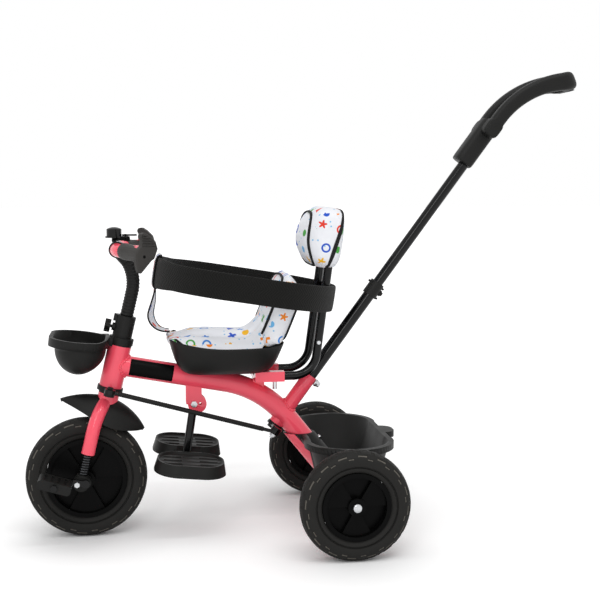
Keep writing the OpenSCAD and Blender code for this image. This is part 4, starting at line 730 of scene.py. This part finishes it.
def in_rail(co):
    """Points of the sleeve that the backrest tube fills."""
    local = turned(rail_foot, lean).inverted() @ co
    ahead, side, height = local.x, abs(local.y), local.z - 0.207215
    off = side - 0.045 if height < 0 else math.hypot(side, height) - 0.045
    return math.hypot(ahead, off) < 0.014


boxed("headrest", "headrest_cushion", rest_frame,
      (lambda z: -0.0175 + 0.2 * max(0, 0.02 - z),
       lambda z: 0.038 - (2 if z > 0 else 6.6) * z * z), 0.006, in_rail)
back_frame = turned(design(-0.33694, 0, 0.350955), math.radians(22)) @ Matrix.Translation((0, 0, 0.082))


def low_rear(p):
    """The top of the back cushion falls away behind its front panel."""
    drop = 0.024 * clamp((p.z - 0.01) / 0.07) * clamp((0.0205 - p.x) / 0.04)
    return Vector((p.x, p.y, p.z - drop))


boxed("back_cushion", "back_cushion_pad", back_frame, (lambda z: -0.0195, lambda z: 0.0205), 0.006,
      settle=low_rear)

# %% [markdown]
# The seat pad lies in the pan, so only its top swells; its underside is held. Its ends are then drawn over the
# lip in front and up into the back cushion behind. The tape follows the rim of the solid, which is not flat, so its
# path is read from the outermost points of the soft solid, station by station.

# %% Seat pad
seat = even_cells("seat_cushion", "seat_pad", 0.001, 0.005)
swell(seat, 0.006, 4.0, lambda v: v.normal.z < 0.3)


def settled(co):
    """The pad's front end lies over the lip of the pan, and its rear runs up into the back cushion."""
    back_by = X0 - co.x
    front = max(0, 1 - (back_by - 0.168) / 0.05)
    rise = 0.036 * clamp((back_by - 0.296) / 0.036) ** 2 * max(0, 1 - (abs(co.y) / 0.088) ** 8)
    return co + Vector((0.018 * front ** 2, 0, 0.01 * front + rise))


for v in seat.data.vertices:
    v.co = settled(v.co)
rows = {}
for v in nodes["seat_cushion"].data.vertices:
    rows.setdefault(round(v.co.x * 2000), []).append(v.co.copy())
order = sorted(rows)
sides = [[max(rows[k], key=lambda co: (round(side * co.y, 5), co.z)) for k in order] for side in (1, -1)]


def across(k, way):
    """Highest points of a row of the solid, in order across it."""
    best = {}
    for co in sorted(rows[k], key=lambda co: co.z):
        best[round(co.y, 4)] = co
    return sorted(best.values(), key=lambda co: way * co.y)


rim = sides[0][1:-1] + across(order[-1], -1) + sides[1][-2:0:-1] + across(order[0], 1)
cover(seat, "seat_cushion")
tape("seat_pad_tape", [[co + 0.002 * UP for co in rim]], UP, 0.0026, 0.0026)
print("rim of", len(rim), "points")

# %% [markdown]
# The guard ring is a flat foam band in a knitted sleeve, closed behind the backrest tube. It is an oval walked
# round the ring's path, then swollen between its top and bottom edges. The knit's pattern runs along the band,
# so each point's place along the path and up the band becomes its flat pattern.

# %% Guard ring
ring_frame = turned(design(-0.133, 0, 0.505), math.radians(9))
ring_r, ring_front, ring_rear = 0.1215, -0.126, -0.225192


def ring_path():
    """Two half circles, in front and behind, in the ring's own plane."""
    path = []
    for middle, quarter in ((ring_front, -0.5), (ring_rear, 0.5)):
        for i in range(41):
            turn = math.pi * (i / 40 + quarter)
            path.append(ring_frame @ Vector((middle + ring_r * math.cos(turn), ring_r * math.sin(turn), 0)))
    return path


bm = bmesh.new()
knit_step = 0.006
line = even_path(ring_path(), knit_step)
up = ring_frame.to_3x3() @ UP
into_ring = ring_frame.inverted()
full = [1 + 0.16 * clamp(((into_ring @ p).x + 0.034) / 0.024) for p in line]
where = sweep(bm, line, up, 0.0034, 0.025, around=28, closed=True, shares=full, square=0.55)
bm.verts.index_update()
station = [where[v] for v in bm.verts]
band = bare("guard_ring_band", bm)
swell(band, 0.0016, 3.0, lambda v: abs((into_ring @ v.co).z) > 0.024)
bm = bmesh.new()
bm.from_mesh(band.data)
flat = bm.loops.layers.uv.new("panel")
for f in bm.faces:
    wraps = max(station[v.index] for v in f.verts) - min(station[v.index] for v in f.verts) > 2
    for corner in f.loops:
        k = station[corner.vert.index]
        corner[flat].uv = ((k + (len(line) if wraps and k == 0 else 0)) * knit_step,
                            (into_ring @ corner.vert.co).z)
bm.to_mesh(band.data)
bm.free()
band.data.materials.append(black_knit)
soften(band, 1)
settle_on(band, "frame", "guard_ring")
print(band.name, "round", round(len(line) * knit_step, 3), "m")

# %% [markdown]
# The crotch strap is a strip of the printed cover, bound at both edges. It loops loosely round the front of the
# ring and bows forward on its way down to the seat.

# %% Crotch strap
strap_step, half_wide = 0.004, 0.0205


def strip(bm, path, closed):
    """Flat strip along a path, with its flat pattern. Returns each vertex's station."""
    flat = bm.loops.layers.uv.verify()
    where = sweep(bm, path, LEFT, 0.0009, 0.02, around=16, closed=closed, square=0.4)
    for f in bm.faces:
        for corner in f.loops:
            if corner.vert in where:
                corner[flat].uv = (where[corner.vert] * strap_step + 0.2, corner.vert.co.y)
    return where


def curve(points, step):
    """Even points on a smooth line through a few design places, in metres."""
    return even_path([design(x * MM, 0, z * MM) for x, z in points], step, closed=False)


tongue = curve(((-133, 476), (-127.5, 456), (-121, 437), (-117.4, 426), (-118.6, 415), (-124, 405), (-134, 396.5),
                (-146, 392.5), (-158, 392)), strap_step)


def twist(i):
    """The strap turns a little on its way down: how far its far edge lies behind the near one."""
    return 0.011 * math.sin(math.pi * i / (len(tongue) - 1))


def full_round(value):
    """A sine or cosine that fills out the corners of a loop."""
    return math.copysign(abs(value) ** 0.6, value)


loop = []
for i in range(48):
    a = math.tau * i / 48
    tall = 0.0345 if math.sin(a) > 0 else 0.0318
    loop.append(ring_frame @ Vector((-0.0045 + 0.0068 * full_round(math.cos(a)), 0, tall * full_round(math.sin(a)))))
loop = even_path(loop, strap_step)
bm = bmesh.new()
for v, i in strip(bm, tongue, False).items():
    v.co.x -= twist(i) * (half_wide - v.co.y) / (2 * half_wide)
strip(bm, loop, True)
for v in bm.verts:
    v.co.x -= 0.126 - math.sqrt(0.126 ** 2 - v.co.y ** 2)
strap = piece("crotch_strap_strip", bm, [printed_cover], "frame", node="crotch_strap")
strap.data.uv_layers[0].name = "panel"
bm = bmesh.new()
for side in (-1, 1):
    shift = Vector((-0.00166, side * half_wide, 0))
    edge = [p + shift - Vector((twist(i) * (side < 0), 0, 0)) for i, p in enumerate(tongue)]
    sweep(bm, edge, LEFT, 0.0016, 0.0022, around=8)
    sweep(bm, [p + shift for p in loop], LEFT, 0.0016, 0.0022, around=8, closed=True)
piece("crotch_strap_tape", bm, [black_tape], "frame")

# %% [markdown]
# The curved stem is a tube in a ribbed rubber sleeve. A circle is walked up the tube's line in steps of less
# than a millimetre, and every rib is a swell of under a millimetre, 6 mm apart.

# %% Ribbed stem
head = Matrix.Translation(design(-0.047691, 0, 0.286945)) @ Matrix.Rotation(math.radians(-13.5), 4, "Y")
line, shares = [], []
for i in range(8):
    line.append(Vector((0, 0, 0.051 + 0.012 * i)))
    shares.append(1.0)
start, bend_start, stem_bend = 0.1395, 0.185, 0.08
length = bend_start - start + stem_bend * math.radians(55)
count = round(length / 0.0008)
for i in range(count + 1):
    run = start + length * i / count
    turn = max(0, run - bend_start) / stem_bend
    line.append(Vector((stem_bend * (1 - math.cos(turn)), 0, min(run, bend_start) + stem_bend * math.sin(turn))))
    shares.append(1 + 0.07 * max(0, math.sin(math.tau * (run - start) / 0.006)) if i < count - 8 else 1.0)
bm = bmesh.new()
sweep(bm, [head @ p for p in line], LEFT, 0.012, 0.012, around=32, shares=shares)
piece("stem_ribbed", bm, [moulded_black], "handlebar_post", node="stem")

# %% [markdown]
# Each hand grip is a fluted barrel with a shield across its end that guards the knuckles. The shield is an
# outline pulled out to its thickness with rounded edges; ribs cross its upper horn. The right grip is the left
# one mirrored.

# %% Hand grips
bar = Matrix.Translation(head @ Vector((0.044599, 0, 0.257874)))
bar_end = bar @ Matrix.Translation((-0.06, 0.031, 0)) @ Matrix.Rotation(math.radians(32), 4, "Z") @ \
    Matrix.Translation((0.06, 0, 0))
outline = [(-15.8, 0), (-11.9, 7), (-5.3, 12.5), (-4, 22), (-7.9, 28), (-5.9, 34), (2.8, 36), (13.2, 30),
           (25, 20), (29.5, 6), (21.8, -12), (16.6, -14.6), (-5.9, -37), (-11.9, -36), (-15.8, -20)]


def hand_grip(node, mirror):
    bm = bmesh.new()
    barrel = [Vector((0, y * MM, -0.00006 * (y - 6.5))) for y in (6.5, 7.2, 9, 20, 35, 50, 64, 66.9)]
    sweep(bm, barrel, UP, 0.015, 0.015, around=72, shares=(0.87, 0.95, 1, 1, 0.97, 1, 1, 1))
    for v in bm.verts:
        flute = 1 + 0.02 * math.cos(18 * math.atan2(v.co.z, v.co.x))
        v.co.x, v.co.z = v.co.x * flute, v.co.z * flute
    rim = [bm.verts.new((-u * MM, 0.0668, h * MM)) for u, h in outline]
    grown = bmesh.ops.extrude_face_region(bm, geom=[bm.faces.new(rim)])["geom"]
    outer = [g for g in grown if isinstance(g, bmesh.types.BMVert)]
    bmesh.ops.translate(bm, verts=outer, vec=(0, 0.009, 0))
    edges = list({e for v in outer for e in v.link_edges})
    bmesh.ops.bevel(bm, geom=edges, offset=0.0024, segments=3, profile=0.5, affect="EDGES")
    for h, u in ((13, 24), (18, 22.5), (22.5, 17), (27, 12), (31, 6)):
        rib = [Vector((x * MM, 0.0761, (h + 0.06 * x) * MM)) for x in (4, -u / 2, -u)]
        sweep(bm, rib, LEFT, 0.0014, 0.0016, around=10, shares=(0.8, 1, 0.8))
    outward = Matrix.Rotation(-math.pi / 2, 4, "X")
    # painted shade: a flat dark disc on the shield stands for a hole that is not cut
    painted_hole_shade = bmesh.ops.create_circle(bm, cap_ends=True, radius=0.0029, segments=20,
                                   matrix=Matrix.Translation((0, 0.0759, -0.0072)) @ outward)
    for f in {f for v in painted_hole_shade["verts"] for f in v.link_faces}:
        f.material_index = 1
    bmesh.ops.transform(bm, verts=bm.verts, matrix=mirror @ bar_end)
    bmesh.ops.recalc_face_normals(bm, faces=bm.faces)
    piece(node + "_moulding", bm, [grip_rubber, hub_black], "handlebar_post", 40, node)


for node, side in (("grip_left", 1), ("grip_right", -1)):
    hand_grip(node, Matrix.Diagonal((1, side, 1, 1)))

# %% [markdown]
# The loop of the push handle is one bent moulding: two flat-sided arms that thicken into a round bar at the end,
# rising from a boxed sleeve. The arms and the bar are a single rounded section walked round the loop.

# %% Loop grip
handle = Matrix.Translation(design(-0.379389, 0, 0.224922)) @ Matrix.Rotation(math.radians(-36.5), 4, "Y")
handle_way, handle_side = handle.to_3x3() @ UP, handle.to_3x3() @ Vector((1, 0, 0))
bend, lead, foot_z = 0.183, 0.004, 0.705


def on_arc(angle, side):
    turn = math.radians(angle)
    return handle @ Vector((lead - bend + bend * math.cos(turn), side, foot_z + bend * math.sin(turn)))


half = [handle @ Vector((lead, 0.034, z)) for z in (0.688, 0.696)]
half += [on_arc(46.7 * i / 30, 0.034) for i in range(31)]
half += [on_arc(46.7 + 5.3 * math.sin(math.radians(9 * i)), 0.017 + 0.017 * math.cos(math.radians(9 * i)))
         for i in range(1, 11)]
line = half + [Vector((p.x, 0, p.z)) for p in half[-1:]] + [Vector((p.x, -p.y, p.z)) for p in half[::-1]]
grow = [1 + 0.3 * clamp((i - 2) / 34) ** 1.6 for i in range(len(half))]
bm = bmesh.new()
up = handle.to_3x3() @ Vector((math.cos(math.radians(30)), 0, math.sin(math.radians(30))))
sweep(bm, line, up, 0.0122, 0.0138, around=32, shares=grow + [1.3] + grow[::-1], square=0.62)
spine = [handle @ Vector((0.0055, 0, z)) for z in (0.601, 0.603, 0.61, 0.64, 0.67, 0.69, 0.696)]
sweep(bm, spine, LEFT, 0.0192, 0.0225, around=32, shares=(0.93, 0.98, 1, 1, 1, 1, 0.94), square=0.55)
yoke = [handle @ Vector((lead, y * MM, 0.684)) for y in (-46, -45, -40, 0, 40, 45, 46)]
sweep(bm, yoke, handle_way, 0.0158, 0.018, around=28,
      shares=(0.8, 0.93, 1, 1, 1, 0.93, 0.8), square=0.6)
for i in range(7):
    rib = [on_arc(a, (i - 3) * 0.008) - up * drop for a, drop in ((46.5, 0.0183), (50.5, 0.019), (54, 0.0166))]
    sweep(bm, rib, LEFT, 0.0016, 0.0016, around=8, shares=(0.6, 1, 0.6))
piece("handle_loop_moulding", bm, [moulded_black], "push_handle_top", 60, "handle_grip")

# %% [markdown]
# The mudguard is a leaf pressed into a shell: its ridge follows the tyre at a distance and its flanks hang down
# beside it. A grid is bent to that form, station by station, and given the wall of a moulding.

# %% Mudguard
low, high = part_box("front_tyre")
axle = (low + high) / 2
bm = bmesh.new()
bmesh.ops.create_grid(bm, x_segments=56, y_segments=24, size=1)
for v in bm.verts:
    along, side = (v.co.x + 1) / 2, v.co.y
    leaf = max(0.03, math.sin(math.pi * min(1, along) ** 1.15)) ** 0.7
    reach = 0.157 - 0.016 * max(0, (along - 0.45) / 0.55) ** 1.5 - 0.046 * leaf * abs(side) ** 2.2
    turn = math.radians(73 + 67.4 * along)
    v.co = axle + Vector((reach * math.cos(turn), 0.035 * leaf * side, reach * math.sin(turn)))
bmesh.ops.recalc_face_normals(bm, faces=bm.faces)
bmesh.ops.solidify(bm, geom=bm.faces[:], thickness=0.0024)
piece("mudguard_leaf", bm, [moulded_black], "steering", 50, "mudguard")

# %% [markdown]
# Three mouldings start from copies of their solids. The front basket's bowl is drawn in under its rim and tips up in
# front, the foot plates slope back and a little to the side, and the rear basket's clip is painted with the tube
# that it grips. The steering rod gets a ribbed sleeve.

# %% Baskets, foot plates and rod sleeve
def tip(bm, pivot, angle, start, end):
    """Turn a copy about a pivot, from not at all at one depth to fully at another."""
    for v in bm.verts:
        share = clamp((v.co.x - start) / (end - start))
        v.co = pivot + Matrix.Rotation(math.radians(-angle * share), 3, "Y") @ (v.co - pivot)


bm = copied("front_basket")
rim_foot, bowl_mid = 0.366, 0.405
for v in bm.verts:
    if v.co.z < rim_foot and v.co.x > bowl_mid:
        v.co.x = bowl_mid + 0.89 * (v.co.x - bowl_mid)
tip(bm, Vector((0.424, 0, 0.386)), 7, 0.374, 0.392)
piece("front_basket_moulding", bm, [moulded_black], "steering", 35, "front_basket")
bm = copied("foot_plates")
tip(bm, Vector((0.226, 0, 0.15)), 5.5, -1, -0.5)
for v in bm.verts:
    v.co.z -= 0.055 * v.co.y
piece("foot_plates_moulding", bm, [moulded_black], "footrest", 35, "foot_plates")

bm = copied("rear_basket")
run, way = design(-0.384969, 0, 0.218213), Vector((-0.6225, 0, -0.7825))
clip_r, lip_foot, tub_foot, tub_high = 0.0252, 0.1738, 0.1123, 0.074
for f in bm.faces:
    spot = f.calc_center_median()
    off = (spot - run) - way * (spot - run).dot(way)
    wall = X0 - 0.42 - 0.02 * (1 - (spot.z - tub_foot) / tub_high)
    if off.length < clip_r and spot.z < lip_foot and spot.x > wall:
        f.material_index = 1
piece("rear_basket_moulding", bm, [moulded_black, pink_coat], "frame", 35, "rear_basket")

rod_front, rod_rear = design(-0.04664, 0.036, 0.28257), design(-0.357916, 0.036, 0.195903)
count = 300
line = [rod_front.lerp(rod_rear, 0.05 + 0.88 * i / count) for i in range(count + 1)]
bm = bmesh.new()
sweep(bm, line, LEFT, 0.0046, 0.0046, around=16,
      shares=[1 + 0.07 * math.sin(math.tau * i / 4) for i in range(count + 1)])
piece("rod_sleeve", bm, [moulded_black], "steering_rod")

# %% [markdown]
# The main tube carries a plain black plate where the maker would put a name, and its joint with the head tube
# shows the ripple of the weld. The plate is a grid bent round the tube; the bead follows the line where the
# two tubes meet, found angle by angle.

# %% Plate and weld beads
tube_way = Vector((-math.cos(TUBE_LEAN), 0, -math.sin(TUBE_LEAN)))
tube_up = Vector((-math.sin(TUBE_LEAN), 0, math.cos(TUBE_LEAN)))
bm = bmesh.new()
bmesh.ops.create_grid(bm, x_segments=24, y_segments=14, size=1)
for v in bm.verts:
    turn = math.radians(7 + 50 * v.co.y)
    v.co = TUBE_ROOT + tube_way * (0.0685 + 0.0413 * v.co.x) + 0.02025 * (
        math.cos(turn) * LEFT + math.sin(turn) * tube_up)
bmesh.ops.recalc_face_normals(bm, faces=bm.faces)
bmesh.ops.solidify(bm, geom=bm.faces[:], thickness=0.0005)
piece("name_plate_blank", bm, [hub_black], "frame")


def weld(name, foot, way, up, radius, distance):
    """Bead where a tube of that radius meets what distance() measures to."""
    path, count = [], 110
    for i in range(count):
        turn = math.tau * i / count
        spoke = radius * (math.cos(turn) * LEFT + math.sin(turn) * up)
        low, high = -0.01, 0.09
        for _ in range(30):
            mid = (low + high) / 2
            if distance(foot + way * mid + spoke) < 0:
                low = mid
            else:
                high = mid
        path.append(foot + way * high + spoke)
    bm = bmesh.new()
    shares = [1 + 0.35 * math.sin(math.tau * i * 24 / count) for i in range(count)]
    sweep(bm, path, way, 0.0023, 0.0023, around=8, closed=True, shares=shares)
    piece(name, bm, [pink_coat], "frame")


head_foot, head_way = head.translation, head.to_3x3() @ UP
weld("weld_head", TUBE_ROOT, tube_way, tube_up, TUBE_R,
     lambda p: ((p - head_foot) - head_way * (p - head_foot).dot(head_way)).length - 0.022)
weld("weld_socket", handle.translation, handle_way, handle_side, 0.01425,
     lambda p: math.hypot(math.hypot(p.x - BEND_MID.x, p.z - BEND_MID.z) - BEND_R, p.y) - TUBE_R)

# %% [markdown]
# A few fasteners are too small for the solid model: the screws of the backrest tube, the clamp bolt of the handle
# socket with its nut, the nuts of the steering rod, the screws of the locking collar and the bolts of the crank. They
# are plain pegs, hexagonal or round, set on their surfaces. The bell's lower tier is made in the same way.

# %% Fasteners
def pegs(name, body, coat, spots):
    """Small heads: a place, the way it looks, radius, height and number of sides."""
    bm = bmesh.new()
    for spot, way, radius, height, sides in spots:
        turn = way.to_track_quat("Z", "Y").to_matrix().to_4x4()
        bmesh.ops.create_cone(bm, cap_ends=True, segments=sides, radius1=radius, radius2=radius * 0.85, depth=height,
                              matrix=Matrix.Translation(spot) @ turn)
    piece(name, bm, [coat], body, crisp=30)


def on_handle(x, y, z):
    return handle @ Vector((x, y, z))


pegs("frame_screws", "frame", zinc_plate, [
    (design(-0.4405, side * 0.0545, 0.37), side * LEFT, 0.0042, 0.004, 18) for side in (1, -1)] + [
    (on_handle(-0.0185, 0, 0.0845), -handle_side, 0.0078, 0.004, 24),
    (on_handle(-0.0225, 0, 0.0845), -handle_side, 0.006, 0.007, 6)])
pegs("rod_nuts", "push_handle", zinc_plate, [
    (on_handle(0, 0.036, -0.0432), -handle_way, 0.0068, 0.0054, 6),
    (on_handle(0, 0.036, -0.0475), -handle_way, 0.0036, 0.005, 16)])
pegs("collar_screws", "push_handle", moulded_black, [
    (on_handle(side * 0.0155, 0, z), side * handle_side, 0.0024, 0.005, 12)
    for side, z in ((1, 0.309), (-1, 0.31), (-1, 0.288))])
pegs("bell_base", "handlebar_post", hub_black, [
    (Vector((0.352, 0.0213, 0.5685)), UP, 0.0145, 0.006, 32), (Vector((0.3375, 0.0213, 0.5685)), UP, 0.006, 0.009, 18)])
pegs("crank_bolts", "front_wheel", zinc_plate, [
    (axle + side * Vector((0.0155, 0.0635, 0)), side * LEFT, 0.0062, 0.004, 6) for side in (1, -1)])
